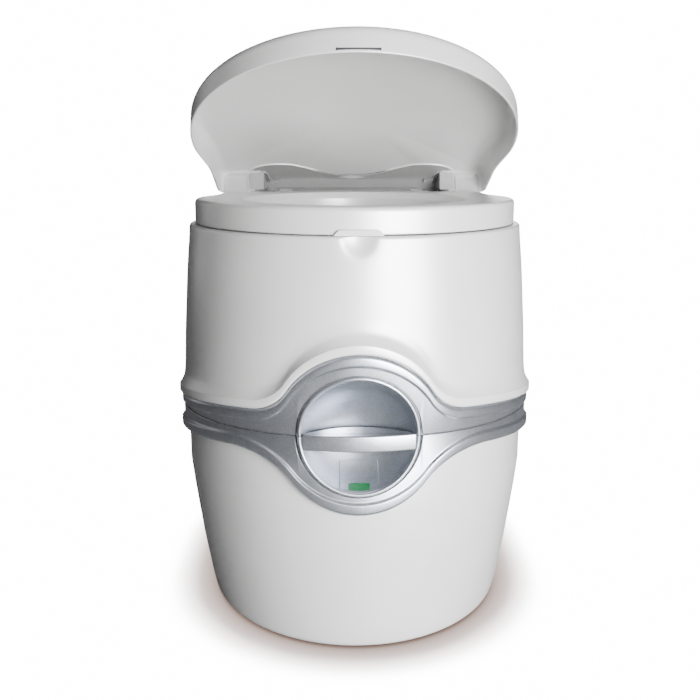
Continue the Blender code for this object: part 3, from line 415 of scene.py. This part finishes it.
# ---------------------------------------------------------------- the body's outline
def outline_angles():
    """Angles round the body from the front centre, closest together at the dish's sides."""
    half = [DISH_FLANGE * math.sin(math.pi / 2 * i / 40) for i in range(41)]
    half += [DISH_FLANGE + (0.128 - DISH_FLANGE) * i / 40 for i in range(1, 41)]
    front = [math.asin(x / HALF_WIDTH) for x in half]
    side = [front[-1] + (math.pi / 2 - front[-1]) * i / 24 for i in range(1, 24)]
    rear = [math.pi / 2 + math.pi * i / 96 for i in range(97)]
    right = front + side
    left = [2 * math.pi - a for a in right[:0:-1]]
    return right + rear + left


ANGLES = outline_angles()


def body_point(angle, inset):
    """The outline's point at an angle from the front centre, drawn in by the inset."""
    across, along = math.sin(angle), math.cos(angle)
    if along >= 0:
        return ((HALF_WIDTH - inset) * across, WIDEST_Y - (FRONT_REACH - inset) * along)
    power = 2 / REAR_POWER
    return ((HALF_WIDTH - inset) * math.copysign(abs(across) ** power, across),
            WIDEST_Y + (REAR_REACH - inset) * abs(along) ** power)


def front_y(x, inset):
    return WIDEST_Y - (FRONT_REACH - inset) * math.sqrt(1 - (x / (HALF_WIDTH - inset)) ** 2)


def crest(x, rise, radius, fillet):
    """Distance of the band's edge from the split: a level rise, with an arch round the dish."""
    across = abs(x)
    foot = math.sqrt((radius + fillet) ** 2 - (rise + fillet) ** 2)
    touch = foot * radius / (radius + fillet)
    if across >= foot:
        return rise
    if across >= touch:
        return rise + fillet - math.sqrt(fillet ** 2 - (foot - across) ** 2)
    return math.sqrt(radius ** 2 - across ** 2)


def sag(y):
    """The share of its drop that the band has at a place: none at the front."""
    return min(1.0, max(0.0, 1.0 - (WIDEST_Y - y) / (FRONT_REACH - BAND_BACK)))


def seam(y):
    return SEAM_Z - SEAM_DROP * sag(y)


def band_edge(angle, side):
    """The trim band's upper (side 1) or lower (side -1) edge at an angle round the body."""
    x, y = body_point(angle, BAND_BACK)
    shape = UPPER_EDGE if side > 0 else LOWER_EDGE
    return SEAM_Z - EDGE_DROP * sag(y) + side * (shape[0] if y >= WIDEST_Y else crest(x, *shape))


def body_rows(column):
    """Rows of points from a function that gives one angle's (inset, height) column."""
    columns = [[(*body_point(a, inset), z) for inset, z in column(a)] for a in ANGLES]
    return [list(row) for row in zip(*columns)]


def dish_depth(radius):
    sphere = (DISH_RADIUS ** 2 + DISH_DEPTH ** 2) / (2 * DISH_DEPTH)
    return math.sqrt(sphere ** 2 - min(radius, DISH_RADIUS) ** 2) - (sphere - DISH_DEPTH)


def dish_plug(clearance):
    """The space that the dish takes out of the tanks."""
    angles = [2 * math.pi * i / 48 for i in range(48)]
    rows = []
    for radius in (0.012, 0.026, 0.037, 0.045, 0.051, DISH_RADIUS):
        out = radius + clearance
        rows.append([(out * math.sin(a), front_y(out * math.sin(a), BAND_BACK)
                      + dish_depth(radius) + clearance + DISH_WALL, SEAM_Z + out * math.cos(a))
                     for a in angles])
    edge = DISH_FLANGE + clearance
    rows.append([(edge * math.sin(a), front_y(edge * math.sin(a), BAND_BACK) + clearance + 0.0005,
                  SEAM_Z + edge * math.cos(a)) for a in angles])
    rows.append([(p[0], -0.26, p[2]) for p in rows[-1]])
    return mesh_of(rows, "cap")


# ---------------------------------------------------------------- the waste tank
SPOUT_X, SPOUT_AXIS_Y = -0.088, 0.162
SPOUT_BACK, SPOUT_FLOOR = 0.136, 0.086
RECESS_LOW, RECESS_HIGH = (-0.142, SPOUT_BACK, SPOUT_FLOOR), (0.142, 0.300, 0.170)
VENT_X, VENT_Z = 0.112, 0.150


def waste_profile():
    side = spline([(0.0305, 0.0115), (0.0279, 0.0241), (0.0253, 0.0395), (0.0226, 0.0548),
                   (0.0201, 0.0699), (0.0180, 0.0849), (0.0159, 0.0997), (0.0140, 0.1144),
                   (0.0121, 0.1290), (0.0105, 0.1435), (BODY_UNDER_BAND, 0.1560)], 4)
    foot = spline([(0.0460, 0.0000), (0.0410, 0.0003), (0.0365, 0.0014), (0.0330, 0.0042),
                   (0.0305, 0.0115)], 5)
    return foot[:-1] + side + [(BODY_UNDER_BAND, 0.19), (BODY_UNDER_BAND, WASTE_TOP_Z)]


def flat_rows(profile):
    return body_rows(lambda angle: profile)


def waste_tank():
    outer = mesh_of(flat_rows(waste_profile()), "cap")
    inner = mesh_of(flat_rows([(0.0400, WALL), (0.0335, 0.0115), (0.0283, 0.0395),
                               (0.0189, 0.0997), (0.0151, 0.1290), (0.0122, 0.1560),
                               (BODY_UNDER_BAND + WALL, WASTE_DECK_Z - WALL)]), "cap")
    grown = box([v - WALL for v in RECESS_LOW], [v + WALL for v in RECESS_HIGH], 0.006)
    inner = cut(inner, dish_plug(GAP + WALL), grown)
    well = mesh_of(flat_rows([(0.0250, WASTE_DECK_Z), (0.0250, WASTE_TOP_Z + 0.01)]), "cap")
    hole = rod((0, OUTLET_Y, WASTE_DECK_Z - 0.01), (0, OUTLET_Y, WASTE_DECK_Z + 0.01), 0.044)
    slot = box((-0.0105, -0.230, 0.2158), (0.0105, -0.150, 0.2196))
    neck = rod((SPOUT_X, SPOUT_AXIS_Y, SPOUT_FLOOR - 0.01),
               (SPOUT_X, SPOUT_AXIS_Y, SPOUT_FLOOR + 0.01), 0.0170)
    vent = rod((VENT_X, SPOUT_BACK - 0.01, VENT_Z), (VENT_X, SPOUT_BACK + 0.01, VENT_Z), 0.0085)
    recess = box(RECESS_LOW, RECESS_HIGH, 0.006, 5)
    return cut(outer, dish_plug(GAP), recess, inner, well, hole, slot, neck, vent)


piece("waste_tank", waste_tank(), "waste_tank", "white_plastic", ["waste_tank_shell"])


def belt(side, strip, strip_inset, field_inset):
    """Half of the trim band: a field along the seam and a raised strip along the edge."""
    opening = DISH_FLANGE + 2 * GAP

    def column(angle):
        x, y = body_point(angle, BAND_BACK)
        clear = math.sqrt(opening ** 2 - x ** 2) if y < WIDEST_Y and abs(x) < opening else 0.0
        split = max(side * seam(y) + GAP, side * SEAM_Z + clear if clear else -1.0)
        edge = side * band_edge(angle, side) - GAP
        room = edge - split
        field_end, start, end = (edge - min(depth, room - least) for depth, least in
                                 ((strip + 0.0018, 0.0006), (strip, 0.0018), (0.0026, 0.0040)))
        line = [(BAND_BACK, split), (field_inset, split), (field_inset, field_end),
                (strip_inset, start), (strip_inset, end), (strip_inset + 0.0020, edge),
                (BAND_BACK, edge)]
        return [(inset, side * z) for inset, z in soften(line, 0.0009, 3, closed=True)]

    return mesh_of(body_rows(column), "loop")


piece("lower_trim_band", belt(-1, 0.0105, 0.0012, 0.0042), "waste_tank", "silver_plastic",
      ["lower_band"])
piece("upper_trim_band", belt(1, 0.0095, 0.0024, 0.0050), "flush_tank", "silver_plastic",
      ["upper_band"])


def dish_half(side):
    """Half of the round dish with its rolled flange, as a cupped sheet with thickness."""
    steps = 72
    start = -math.pi / 2 + 0.006 + (0 if side > 0 else math.pi)
    angles = [start + (math.pi - 0.012) * i / steps for i in range(steps + 1)]
    radii = [0.0002] + [0.0035 + (DISH_RADIUS - 0.0035) * i / 26 for i in range(1, 27)]
    section = [(r, DISH_INSET, dish_depth(r)) for r in radii]
    flange = soften([(DISH_RADIUS, DISH_INSET), (0.0544, 0.0030), (0.0562, 0.0028),
                     (DISH_FLANGE, 0.0040), (DISH_FLANGE, DISH_REST)], 0.0009, 4)
    section += [(r, inset, 0.0) for r, inset in flange[1:]]
    front, back = [], []
    for radius, inset, depth in section:
        row, behind = [], []
        for a in angles:
            x, z = radius * math.sin(a), SEAM_Z + radius * math.cos(a)
            z = max(z, SEAM_Z + GAP) if side > 0 else min(z, SEAM_Z - GAP)
            y = front_y(x, inset) + depth
            row.append((x, y, z))
            behind.append((x, max(y, front_y(x, DISH_REST)) + DISH_WALL, z))
        front.append(row)
        back.append(behind)
    return closed_sheet(front, back)


rod_slot = box((-0.0100, -0.230, 0.2158), (0.0100, -0.150, 0.2196))
piece("lower_dish_cup", cut(dish_half(-1), rod_slot), "waste_tank", "silver_plastic",
      ["lower_dish"])
piece("upper_dish_cup", dish_half(1), "flush_tank", "silver_plastic", ["upper_dish"])

# the level panel and its green window, lying on the lower half of the dish
def on_dish(x, down, lift):
    """A point a little off the dish's face, below its centre by a distance."""
    def face(u, v):
        return front_y(u, DISH_INSET) + dish_depth(math.hypot(u, v))

    step = 0.0004
    slope = Vector(((face(x + step, down) - face(x - step, down)) / (2 * step), -1.0,
                    (face(x, down - step) - face(x, down + step)) / (2 * step))).normalized()
    return Vector((x, face(x, down), SEAM_Z - down)) + lift * slope


def panel(half, top, rim, low, high, steps=(28, 30), edge=0.0005):
    """A thin panel on the dish, its foot following the rim, its edges rounded."""
    across, along = steps
    foot = math.sqrt(rim ** 2 - half ** 2)
    middle = (top + rim) / 2
    spot = [(-half + 2 * half * i / across, top) for i in range(across)]
    spot += [(half, top + (foot - top) * i / along) for i in range(along)]
    spot += [(x, math.sqrt(rim ** 2 - x ** 2))
             for x in [half - 2 * half * i / across for i in range(across)]]
    spot += [(-half, foot + (top - foot) * i / along) for i in range(along)]

    def ring(trim, lift, share=1.0):
        return [on_dish(x * (1 - trim / half) * share,
                        middle + (down - middle) * (1 - trim / (rim - top) * 2) * share, lift)
                for x, down in spot]

    rows = [ring(0.0, low, step / 9) for step in range(1, 9)]
    rows += [ring(0.0, low), ring(0.0, high - edge), ring(edge, high)]
    rows += [ring(edge, high, 1 - step / 9) for step in range(1, 9)]
    return mesh_of(rows, "cap")


piece("level_frame", panel(0.0182, 0.0300, 0.0533, -0.0004, 0.0008, edge=0.0003),
      "waste_tank", "silver_plastic", ["level_plate"])
piece("level_lens", panel(0.0103, 0.0473, 0.0525, -0.0003, 0.0011), "waste_tank",
      "green_plastic", ["level_window"])

# the pull handle of the sliding valve
HANDLE_LOW, HANDLE_HIGH, HANDLE_HALF = 0.2148, 0.2308, 0.0520


def handle():
    """A bar whose front follows the body and whose back is a shallow arc, edges rounded."""
    rows = []
    edge = [math.pi / 2 * i / 4 for i in range(5)]
    levels = [(0.0020 * (1 - math.sin(a)), HANDLE_LOW + 0.0020 * (1 - math.cos(a)))
              for a in edge]
    levels += [(0.0020 * (1 - math.cos(a)), HANDLE_HIGH - 0.0020 * (1 - math.sin(a)))
               for a in edge]
    steps = 48
    for trim, z in levels:
        half = HANDLE_HALF - trim
        row = []
        for i in range(steps + 1):
            x = -half * math.cos(math.pi * i / steps)
            row.append((x, front_y(x, 0.0036) + trim, z))
        for i in range(1, steps):
            x = half * math.cos(math.pi * i / steps)
            row.append((x, front_y(x, 0.0036) + 0.0285 * (1 - (x / half) ** 2) + 0.0030 - trim,
                        z))
        rows.append(row)
    return mesh_of(rows, "cap")


piece("pull_handle", handle(), "valve", "silver_plastic", ["valve_handle"])

# ---------------------------------------------------------------- the flush tank
SCOOP = (0.0, -0.2350, 0.4120)
SCOOP_RADIUS = 0.0325
PUMP_SPOT = (-0.1340, 0.1580)
FILLER_SPOT = (0.1335, 0.1550)


SIDE_INSETS = [(0.2000, 0.0062), (0.2500, 0.0064), (0.2765, 0.0076), (0.3028, 0.0089),
               (0.3288, 0.0107), (0.3545, 0.0124), (0.3799, 0.0146), (0.3925, 0.0159),
               (0.4040, 0.0168)]
SIDE_LINE = spline([(z, inset) for z, inset in SIDE_INSETS], 5)


def side_inset(z):
    for (low, first), (high, second) in zip(SIDE_LINE, SIDE_LINE[1:]):
        if z <= high:
            return first + (second - first) * (z - low) / (high - low)
    return SIDE_INSETS[-1][1]


LIP = spline([(1.0, 0.0024), (1.0, 0.0055), (0.86, 0.0095), (0.40, 0.0150), (0.10, 0.0215),
              (0.0, 0.0300)], 4)


def flush_column(angle):
    top = band_edge(angle, 1)
    under = soften([(BODY_UNDER_BAND, top + 0.0006), (0.0008, top + 0.0006),
                    (0.0, top + 0.0024)], 0.0012, 3)
    column = [(BODY_UNDER_BAND, FLUSH_BASE_Z)] + under[:-1]
    for flare, step in LIP:
        z = top + step
        column.append((side_inset(z) * (1 - flare), z))
    foot = top + 0.0300
    for i in range(1, 25):
        z = foot + (SIDE_INSETS[-1][0] - foot) * i / 24
        column.append((side_inset(z), z))
    edge = soften([(0.0168, 0.4040), (0.0171, 0.4098), (0.0230, DECK_Z)], 0.0040, 6)
    return column + edge[1:]


def scooped(point):
    """Push a point back where the finger scoop is."""
    x, y, z = point
    if y > -0.15 or z < 0.375:
        return point
    room = SCOOP_RADIUS ** 2 - x ** 2 - (z - SCOOP[2]) ** 2
    if room <= 0:
        return point
    deep = SCOOP[1] + math.sqrt(room) - y
    soft = 0.0006
    return (x, y + 0.5 * (deep + math.sqrt(deep ** 2 + 4 * soft ** 2)) if deep > -0.006 else y, z)


def oval(angle, grow):
    """The bowl hole's edge, at the angle that the body's outline has there."""
    x, y = body_point(angle, 0.02)
    a = math.atan2(x / BOWL_RADII[0], -(y - BOWL_Y) / BOWL_RADII[1])
    return ((BOWL_RADII[0] + grow) * math.sin(a), BOWL_Y - (BOWL_RADII[1] + grow) * math.cos(a))


def flush_tank():
    """The skin from the seam over the lip and the round deck edge in to the bowl's hole."""
    rows = [[scooped(p) for p in row] for row in body_rows(flush_column)]
    for grow, z in ((0.0085, DECK_Z), (0.0070, DECK_Z - 0.0004), (0.0060, DECK_Z - 0.0008),
                    (0.0040, DECK_Z - 0.0008), (0.0040, DECK_Z - WALL)):
        rows.append([(*oval(a, grow), z) for a in ANGLES])
    under = [(0.0230, DECK_Z - WALL), (0.0205, 0.4020), (0.0180, 0.3720), (0.0150, 0.3350),
             (0.0142, 0.2520), (0.0142, FLUSH_BASE_Z)]
    for row in flat_rows(under):
        rows.append([(x, y + max(0.0, 0.0085 - abs(x) / 4) if y < -0.15 and z > 0.385 else y, z)
                     for x, y, z in row])
    shell = mesh_of(rows, "loop")
    pump = rod((*PUMP_SPOT, DECK_Z - 0.01), (*PUMP_SPOT, DECK_Z + 0.01), 0.0160)
    filler = rod((*FILLER_SPOT, DECK_Z - 0.01), (*FILLER_SPOT, DECK_Z + 0.01), 0.0170)
    return cut(shell, dish_plug(GAP), pump, filler)


piece("flush_tank_body", flush_tank(), "flush_tank", "white_plastic", ["flush_tank_shell"])


def catch_tab():
    """A low tab that follows the front, its upper corners round, just inside the lid's rim."""
    face = soften([(-0.0225, DECK_Z + 0.0003), (-0.0215, 0.4124), (-0.0180, 0.4158),
                   (0.0180, 0.4158), (0.0215, 0.4124), (0.0225, DECK_Z + 0.0003)], 0.0020, 6)
    line = []
    for first, second in zip(face, face[1:]):
        steps = max(1, round(math.dist(first, second) / 0.002))
        line += [(first[0] + (second[0] - first[0]) * i / steps,
                  first[1] + (second[1] - first[1]) * i / steps) for i in range(steps)]
    line.append(face[-1])
    rows = []
    for trim, step in ((0.0006, 0.0), (0.0002, 0.0002), (0.0, 0.0006), (0.0, 0.0016)):
        rows.append([(x * (1 - trim * 30), front_y(x, 0.0206) + step,
                      z - trim * (z > 0.4120)) for x, z in line])
    return mesh_of(rows, "cap")


piece("catch_tab", catch_tab(), "flush_tank", "inner_white_plastic", ["lid_catch_tab"], WHITE)


# ---------------------------------------------------------------- the seat and the lid
def quarter(centre, radius, start, steps):
    """Points of a quarter circle from an angle, counterclockwise for a positive radius."""
    turn = math.copysign(math.pi / 2, radius)
    size = abs(radius)
    return [(centre[0] + size * math.cos(start + turn * i / steps),
             centre[1] + size * math.sin(start + turn * i / steps)) for i in range(steps + 1)]


def cover_outline(half, front, shoulder, ease_y, ledge_y, neck, end_y):
    """A closed outline: an elliptic front, narrowing sides, a shoulder in to a narrow neck."""
    corner, hollow = 0.0140, 0.0080
    side = [(half * math.sin(a), WIDEST_Y - front * math.cos(a))
            for a in [math.pi / 2 * i / 48 for i in range(48)]]
    for i in range(16):
        ease = 0.5 * (1 + math.cos(math.pi * i / 16))
        side.append((shoulder + (half - shoulder) * ease,
                     WIDEST_Y + (ease_y - WIDEST_Y) * i / 16))
    side += [(shoulder, ease_y + (ledge_y - corner - ease_y) * i / 8) for i in range(8)]
    side += quarter((shoulder - corner, ledge_y - corner), corner, 0.0, 12)
    side += quarter((neck + hollow, ledge_y + hollow), -hollow, 1.5 * math.pi, 8)
    side += quarter((neck - corner, end_y - corner), corner, 0.0, 10)
    side += [((neck - corner) * (1 - i / 12), end_y) for i in range(1, 12)]
    mirrored = [(-x, y) for x, y in side[:0:-1]]
    return [Vector(p) for p in side + [(0.0, end_y)] + mirrored]


def draw_in(outline, distance):
    moved = []
    count = len(outline)
    for i, point in enumerate(outline):
        along = (outline[(i + 1) % count] - outline[i - 1]).normalized()
        moved.append(point + distance * Vector((-along.y, along.x)))
    return moved


LID_OUTLINE = cover_outline(0.1742, 0.1945, 0.1650, 0.0660, 0.1290, 0.1120, 0.1660)
SEAT_OUTLINE = cover_outline(0.1705, 0.1875, 0.1585, 0.0600, 0.1220, 0.1000, 0.1480)
SEAT_HOLE = (0.1100, 0.1370)
SEAT_HOLE_Y = -0.0380


def knuckles(station, start_y, low_z, high_z):
    """A cover's two hinge arms with their eyes, and the bores to cut through them."""
    arms, bores = [], []
    for side in (-1, 1):
        x0, x1 = sorted((side * station[0], side * station[1]))
        arm = box((x0, start_y, low_z), (x1, HINGE_Y + 0.004, high_z), 0.0012)
        eye = rod((x0, HINGE_Y, HINGE_Z), (x1, HINGE_Y, HINGE_Z), 0.0080, 40, 0.0008)
        arms += [arm, eye]
        bores.append(rod((x0 - 0.01, HINGE_Y, HINGE_Z), (x1 + 0.01, HINGE_Y, HINGE_Z),
                         BORE_RADIUS, 24))
    return arms, bores


def seat():
    """A rounded ring with a skirt, hollow underneath, with its two hinge arms."""
    wall = 0.0032

    def outer(distance, z):
        return [(p.x, p.y, z) for p in draw_in(SEAT_OUTLINE, distance)]

    def hole(grow, z):
        ring = []
        for p in SEAT_OUTLINE:
            a = math.atan2(p.x / SEAT_HOLE[0], -(p.y - SEAT_HOLE_Y) / SEAT_HOLE[1])
            ring.append(((SEAT_HOLE[0] + grow) * math.sin(a),
                         SEAT_HOLE_Y - (SEAT_HOLE[1] + grow) * math.cos(a), z))
        return ring

    skirt = soften([(0.0006, SEAT_BOTTOM), (0.0, SEAT_BOTTOM + 0.0006), (0.0, 0.4354),
                    (0.0100, SEAT_TOP)], 0.0050, 8)
    rings = [outer(d, z) for d, z in skirt]
    dished = soften([(0.0100, SEAT_TOP), (0.0072, 0.4357), (0.0, 0.4285), (0.0, 0.4200)], 0.0011, 4)
    rings += [hole(g, z) for g, z in dished] + [hole(0.0, 0.4150)]
    rings += [hole(wall, 0.4150), hole(wall, 0.4260), hole(0.0110, 0.4312),
              outer(0.0145, 0.4326), outer(0.0065, 0.4296), outer(wall, 0.4230),
              outer(wall, SEAT_BOTTOM)]
    arms, bores = knuckles(SEAT_KNUCKLE, 0.1462, 0.4210, 0.4296)
    return cut(join(mesh_of(rings, "loop"), *arms), *bores)


piece("seat_ring", seat(), "seat", "white_plastic", ["seat"])


def lid_rings(wall):
    """The lid's sections from its rim up over its round edge and across its crown."""
    outline = draw_in(LID_OUTLINE, wall)
    top_edge = LID_TOP - wall
    bend = LID_ROUND - wall
    rings = []
    for step in range(11):
        a = math.pi / 2 * step / 10
        z = top_edge - bend * (1 - math.sin(a))
        rings.append([(p.x, p.y, z) for p in draw_in(outline, bend * (1 - math.cos(a)))])
    rim = draw_in(outline, bend)
    middle = Vector((0.0, -0.0150))
    for step in range(1, 16):
        share = 1 - step / 16
        z = top_edge + LID_CROWN * (1 - share ** 2)
        rings.append([(*(middle + (p - middle) * share), z) for p in rim])
    return rings


def lid():
    """A shallow domed cover with a skirt, its hinge arms and the slot for the catch."""
    edge = soften([(LID_WALL, LID_BOTTOM + 0.004), (LID_WALL, LID_BOTTOM), (0.0, LID_BOTTOM),
                   (0.0, LID_BOTTOM + 0.004)], 0.0009, 4)
    rim = [[(p.x, p.y, z) for p in draw_in(LID_OUTLINE, d)] for d, z in edge]
    shell = mesh_of(lid_rings(LID_WALL)[::-1] + rim + lid_rings(0.0), "cap")
    rear_gap = box((-0.1300, 0.1500, 0.4000), (0.1300, 0.1750, 0.4245))
    arm_gaps = [box((x - 0.0080, 0.1500, 0.4000), (x + 0.0080, 0.1750, 0.4304), 0.0012)
                for x in (-0.0845, 0.0845)]
    slot = box((-0.0190, -0.2200, 0.4128), (0.0195, -0.2000, 0.4152), 0.0006)
    arms, bores = knuckles(LID_KNUCKLE, 0.1460, 0.4343, 0.4386)
    return cut(join(cut(shell, rear_gap, *arm_gaps, slot), *arms), *bores)


PIVOT = Vector((0, HINGE_Y, HINGE_Z))


def open_lid(mesh):
    """Turn a mesh made for the closed lid up to where the lid stands."""
    mesh.transform(Matrix.Translation(PIVOT) @ Matrix.Rotation(-LID_OPEN, 4, "X")
                   @ Matrix.Translation(-PIVOT))
    return mesh


lid_mesh = lid()
inside = BVHTree.FromPolygons([v.co.copy() for v in lid_mesh.vertices],
                              [tuple(p.vertices) for p in lid_mesh.polygons])


def ceiling(x, y):
    """The height of the closed lid's inner face over a place."""
    hit = inside.ray_cast(Vector((x, y, 0.4330)), Vector((0, 0, 1)))[0]
    return hit.z if hit and hit.z > 0.4372 else LID_TOP - LID_WALL


# (across, along) of the raised line in front of the hinge, from the middle to one end
HINGE_LINE = spline([(0.0, 0.1385), (0.0180, 0.1368), (0.0320, 0.1325), (0.0450, 0.1260),
                     (0.0580, 0.1185), (0.0700, 0.1130), (0.0820, 0.1080), (0.0940, 0.1060),
                     (0.1050, 0.1068), (0.1150, 0.1105), (0.1220, 0.1160), (0.1260, 0.1220)], 5)


def hinge_line():
    bead = [(x, y, ceiling(x, y) - 0.0002) for x, y in HINGE_LINE]
    bead += [(0.1284, 0.1256, 0.4360), (0.1290, 0.1264, 0.4300), (0.1290, 0.1264, 0.4135)]
    return [(-x, y, z) for x, y, z in bead[:0:-1]] + bead


def painted_shade_panel():
    """A thin sheet of painted shade behind the raised line, along the inner face and down the rear
    wall.
    """
    front, back = [], []
    line = [(-x, y) for x, y in HINGE_LINE[:0:-1]] + HINGE_LINE
    for step in range(13):
        along, down = min(step / 4, 1.0), max((step - 4) / 8, 0.0)
        row = []
        for x, y in line:
            bend, foot_y, foot_z = ((0.1228, 0.1262, 0.4150) if abs(x) > 0.1080
                                    else (0.1490, 0.1606, 0.4308))
            at = y + (bend - y) * along
            top = ceiling(x, at) - 0.0004
            row.append((x, at + (foot_y - bend) * down, top + (foot_z - top) * down))
        front.append(row)
        back.append([(x, y + 0.0004, z + 0.0008) for x, y, z in row])
    return closed_sheet(front, back)


def lozenge():
    """A lens-shaped boss behind the middle of the raised line."""
    rows = []
    for share, drop in ((1.0, -0.0003), (1.0, 0.0004), (0.9, 0.0009), (0.6, 0.0013),
                        (0.2, 0.0015)):
        rows.append([(0.0165 * share * math.cos(a), 0.1445 + 0.0042 * share * math.sin(a)
                      * (1 - 0.55 * abs(math.cos(a))), ceiling(0, 0.1445) - drop)
                     for a in [2 * math.pi * i / 48 for i in range(48)]])
    return mesh_of(rows, "cap")


cover = piece("lid_cover", open_lid(together(lid_mesh, tube(hinge_line(), 0.0011, 12), lozenge())),
              "lid", "white_plastic", ["lid"])
# painted shade: the inward faces of the recess between the hinges get the darkest grey, and the
# ledge walls facing the front a softer grey
for grey in (PAINTED_DEEP_SHADE, PAINTED_SOFT_SHADE):
    cover.data.materials.append(grey)
LAID_DOWN = Matrix.Rotation(LID_OPEN, 3, "X")
RECESS_HALF, LEDGE_HALF = 0.1275, 0.1600    # the recess between the hinges and the rear ledge, where shade is painted
for face in cover.data.polygons:
    spot = LAID_DOWN @ (face.center - PIVOT) + PIVOT
    facing = LAID_DOWN @ face.normal
    across = abs(spot.x)
    inward = facing.y < 0.3 and abs(facing.z) < 0.9 and facing.z < 0.3
    if (across < RECESS_HALF and 0.1262 < spot.y < 0.1650 and inward
            and facing.x * spot.x < 0.0001):
        face.material_index = 1
    elif across < LEDGE_HALF and 0.1240 < spot.y < 0.1645 and facing.y < -0.5:
        face.material_index = 2
# painted shade: a dark plate just inside the lid's catch slot, so that the slot reads dark
painted_shade_catch_slot = box((-0.0200, -0.2074, 0.4124), (0.0200, -0.2062, 0.4156), 0.0003)
piece("painted_shade_catch_slot", open_lid(painted_shade_catch_slot), "lid", "dark_plastic")
# the sheet of painted shade in the lid's recess in front of the hinges
piece("lid_painted_shade_panel", open_lid(painted_shade_panel()), "lid", "inner_white_plastic",
      finish=SHADED_WHITE)

# ---------------------------------------------------------------- the carried-over CAD nodes
CARRIED = {
    "inner_white_plastic": ["bowl", "flush_nozzle", "flush_pipe", "flush_tank_base", "filler_neck",
                            "valve_blade", "float_arm", "level_float", "hinge_bracket_left",
                            "hinge_bracket_right"],
    "silver_plastic": ["pump_knob", "filler_cap"],
    "dark_plastic": ["valve_base", "valve_cover", "float_bracket", "spout_collar", "pour_spout",
                     "spout_cap", "vent_collar", "latch_mount", "tank_latch", "pump_cylinder"],
    "green_plastic": ["vent_button"],
    "black_rubber": ["valve_lip_seal", "pump_piston", "seat_bumper_1", "seat_bumper_2",
                     "seat_bumper_3", "seat_bumper_4"],
    "steel": ["valve_rod", "pump_rod", "hinge_pin_left", "hinge_pin_right", "hinge_screw_1",
              "hinge_screw_2", "hinge_screw_3", "hinge_screw_4"],
}
for slot, names in CARRIED.items():
    for name in names:
        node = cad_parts[name]
        for material_slot in node.material_slots:
            material_slot.material = SLOT_FINISH[slot]

# ---------------------------------------------------------------- floor, light, camera
floor = bpy.data.objects.new("floor", mesh_of(
    [[(-4.0, y, z), (4.0, y, z)] for y, z in
     spline([(-3.0, 0.0), (0.0, 0.0), (1.6, 0.0), (2.3, 0.12), (2.7, 0.6), (2.8, 1.4),
             (2.8, 4.0)], 8)], "open", around=False))
bpy.context.scene.collection.objects.link(floor)


def floor_finish():
    """White paper, lit through to pure white, with a painted shadow that greys it softly right
    beside the object.
    """
    material, tree, shader, place = shading("studio_paper", 0.75)
    tree.links.new(ramp(tree, noise(tree, place, 6.0), [(0.3, (0.13, 0.13, 0.13)),
                                                        (0.7, (0.15, 0.15, 0.15))]),
                   shader.inputs["Base Color"])
    cover = tree.nodes.new("ShaderNodeAmbientOcclusion")
    cover.samples = 24
    cover.inputs["Distance"].default_value = 0.075
    glow = tree.nodes.new("ShaderNodeEmission")
    glow.inputs["Strength"].default_value = 16.0
    # painted shadow: the glow is dimmed to a warm dark brown where the object crowds the floor
    tree.links.new(ramp(tree, cover.outputs["AO"],
                        [(0.0, (0.006, 0.004, 0.003)), (0.40, (0.030, 0.021, 0.018)),
                         (0.62, (0.095, 0.080, 0.075)), (0.76, (0.34, 0.32, 0.31)),
                         (0.90, (1.0, 1.0, 1.0))]), glow.inputs["Color"])
    seen = tree.nodes.new("ShaderNodeMixShader")
    tree.links.new(tree.nodes.new("ShaderNodeLightPath").outputs["Is Camera Ray"], seen.inputs[0])
    tree.links.new(shader.outputs["BSDF"], seen.inputs[1])
    tree.links.new(glow.outputs["Emission"], seen.inputs[2])
    tree.links.new(seen.outputs["Shader"], tree.nodes["Material Output"].inputs["Surface"])
    return material


floor.data.materials.append(floor_finish())
floor.data.shade_smooth()


def lamp(name, spot, aim, size, power, colour=(1.0, 1.0, 1.0)):
    data = bpy.data.lights.new(name, "AREA")
    data.shape = "RECTANGLE"
    data.size, data.size_y = size
    data.energy = power
    data.color = colour
    obj = bpy.data.objects.new(name, data)
    obj.location = spot
    obj.rotation_euler = (Vector(aim) - Vector(spot)).to_track_quat("-Z", "Y").to_euler()
    bpy.context.scene.collection.objects.link(obj)
    return obj


def around(azimuth, distance, height):
    """A spot round the object; the azimuth is in degrees to the right of the front."""
    turn = math.radians(azimuth)
    return (distance * math.sin(turn), -distance * math.cos(turn), height)


lamp("key", around(20, 2.2, 0.85), (0, 0, 0.28), (0.7, 1.3), 54)
lamp("sheen", around(27, 1.35, 0.30), (0, 0, 0.20), (0.75, 0.8), 84)
lamp("rim", around(-125, 1.9, 0.70), (0, 0, 0.28), (0.5, 1.2), 1.6)
lamp("rear_fill", around(176, 2.4, 1.10), (0, 0, 0.25), (1.4, 1.6), 22)
lamp("top_soft", (0.1, 0.1, 2.2), (0, 0, 0.3), (1.6, 1.6), 6)

world = bpy.data.worlds.new("studio")
bpy.context.scene.world = world
world.use_nodes = True
world.node_tree.nodes["Background"].inputs["Color"].default_value = (1.0, 1.0, 1.0, 1.0)
world.node_tree.nodes["Background"].inputs["Strength"].default_value = 0.10

camera_data = bpy.data.cameras.new("camera")
camera_data.lens = 45.42
camera_data.sensor_width = 36.0
camera_data.shift_x = -0.0063
camera = bpy.data.objects.new("camera", camera_data)
camera.location = (-0.0212, -0.9859, 0.4821)
camera.rotation_euler = (math.radians(90 - 12.58), 0.0, math.radians(-1.25))
bpy.context.scene.collection.objects.link(camera)
bpy.context.scene.camera = camera
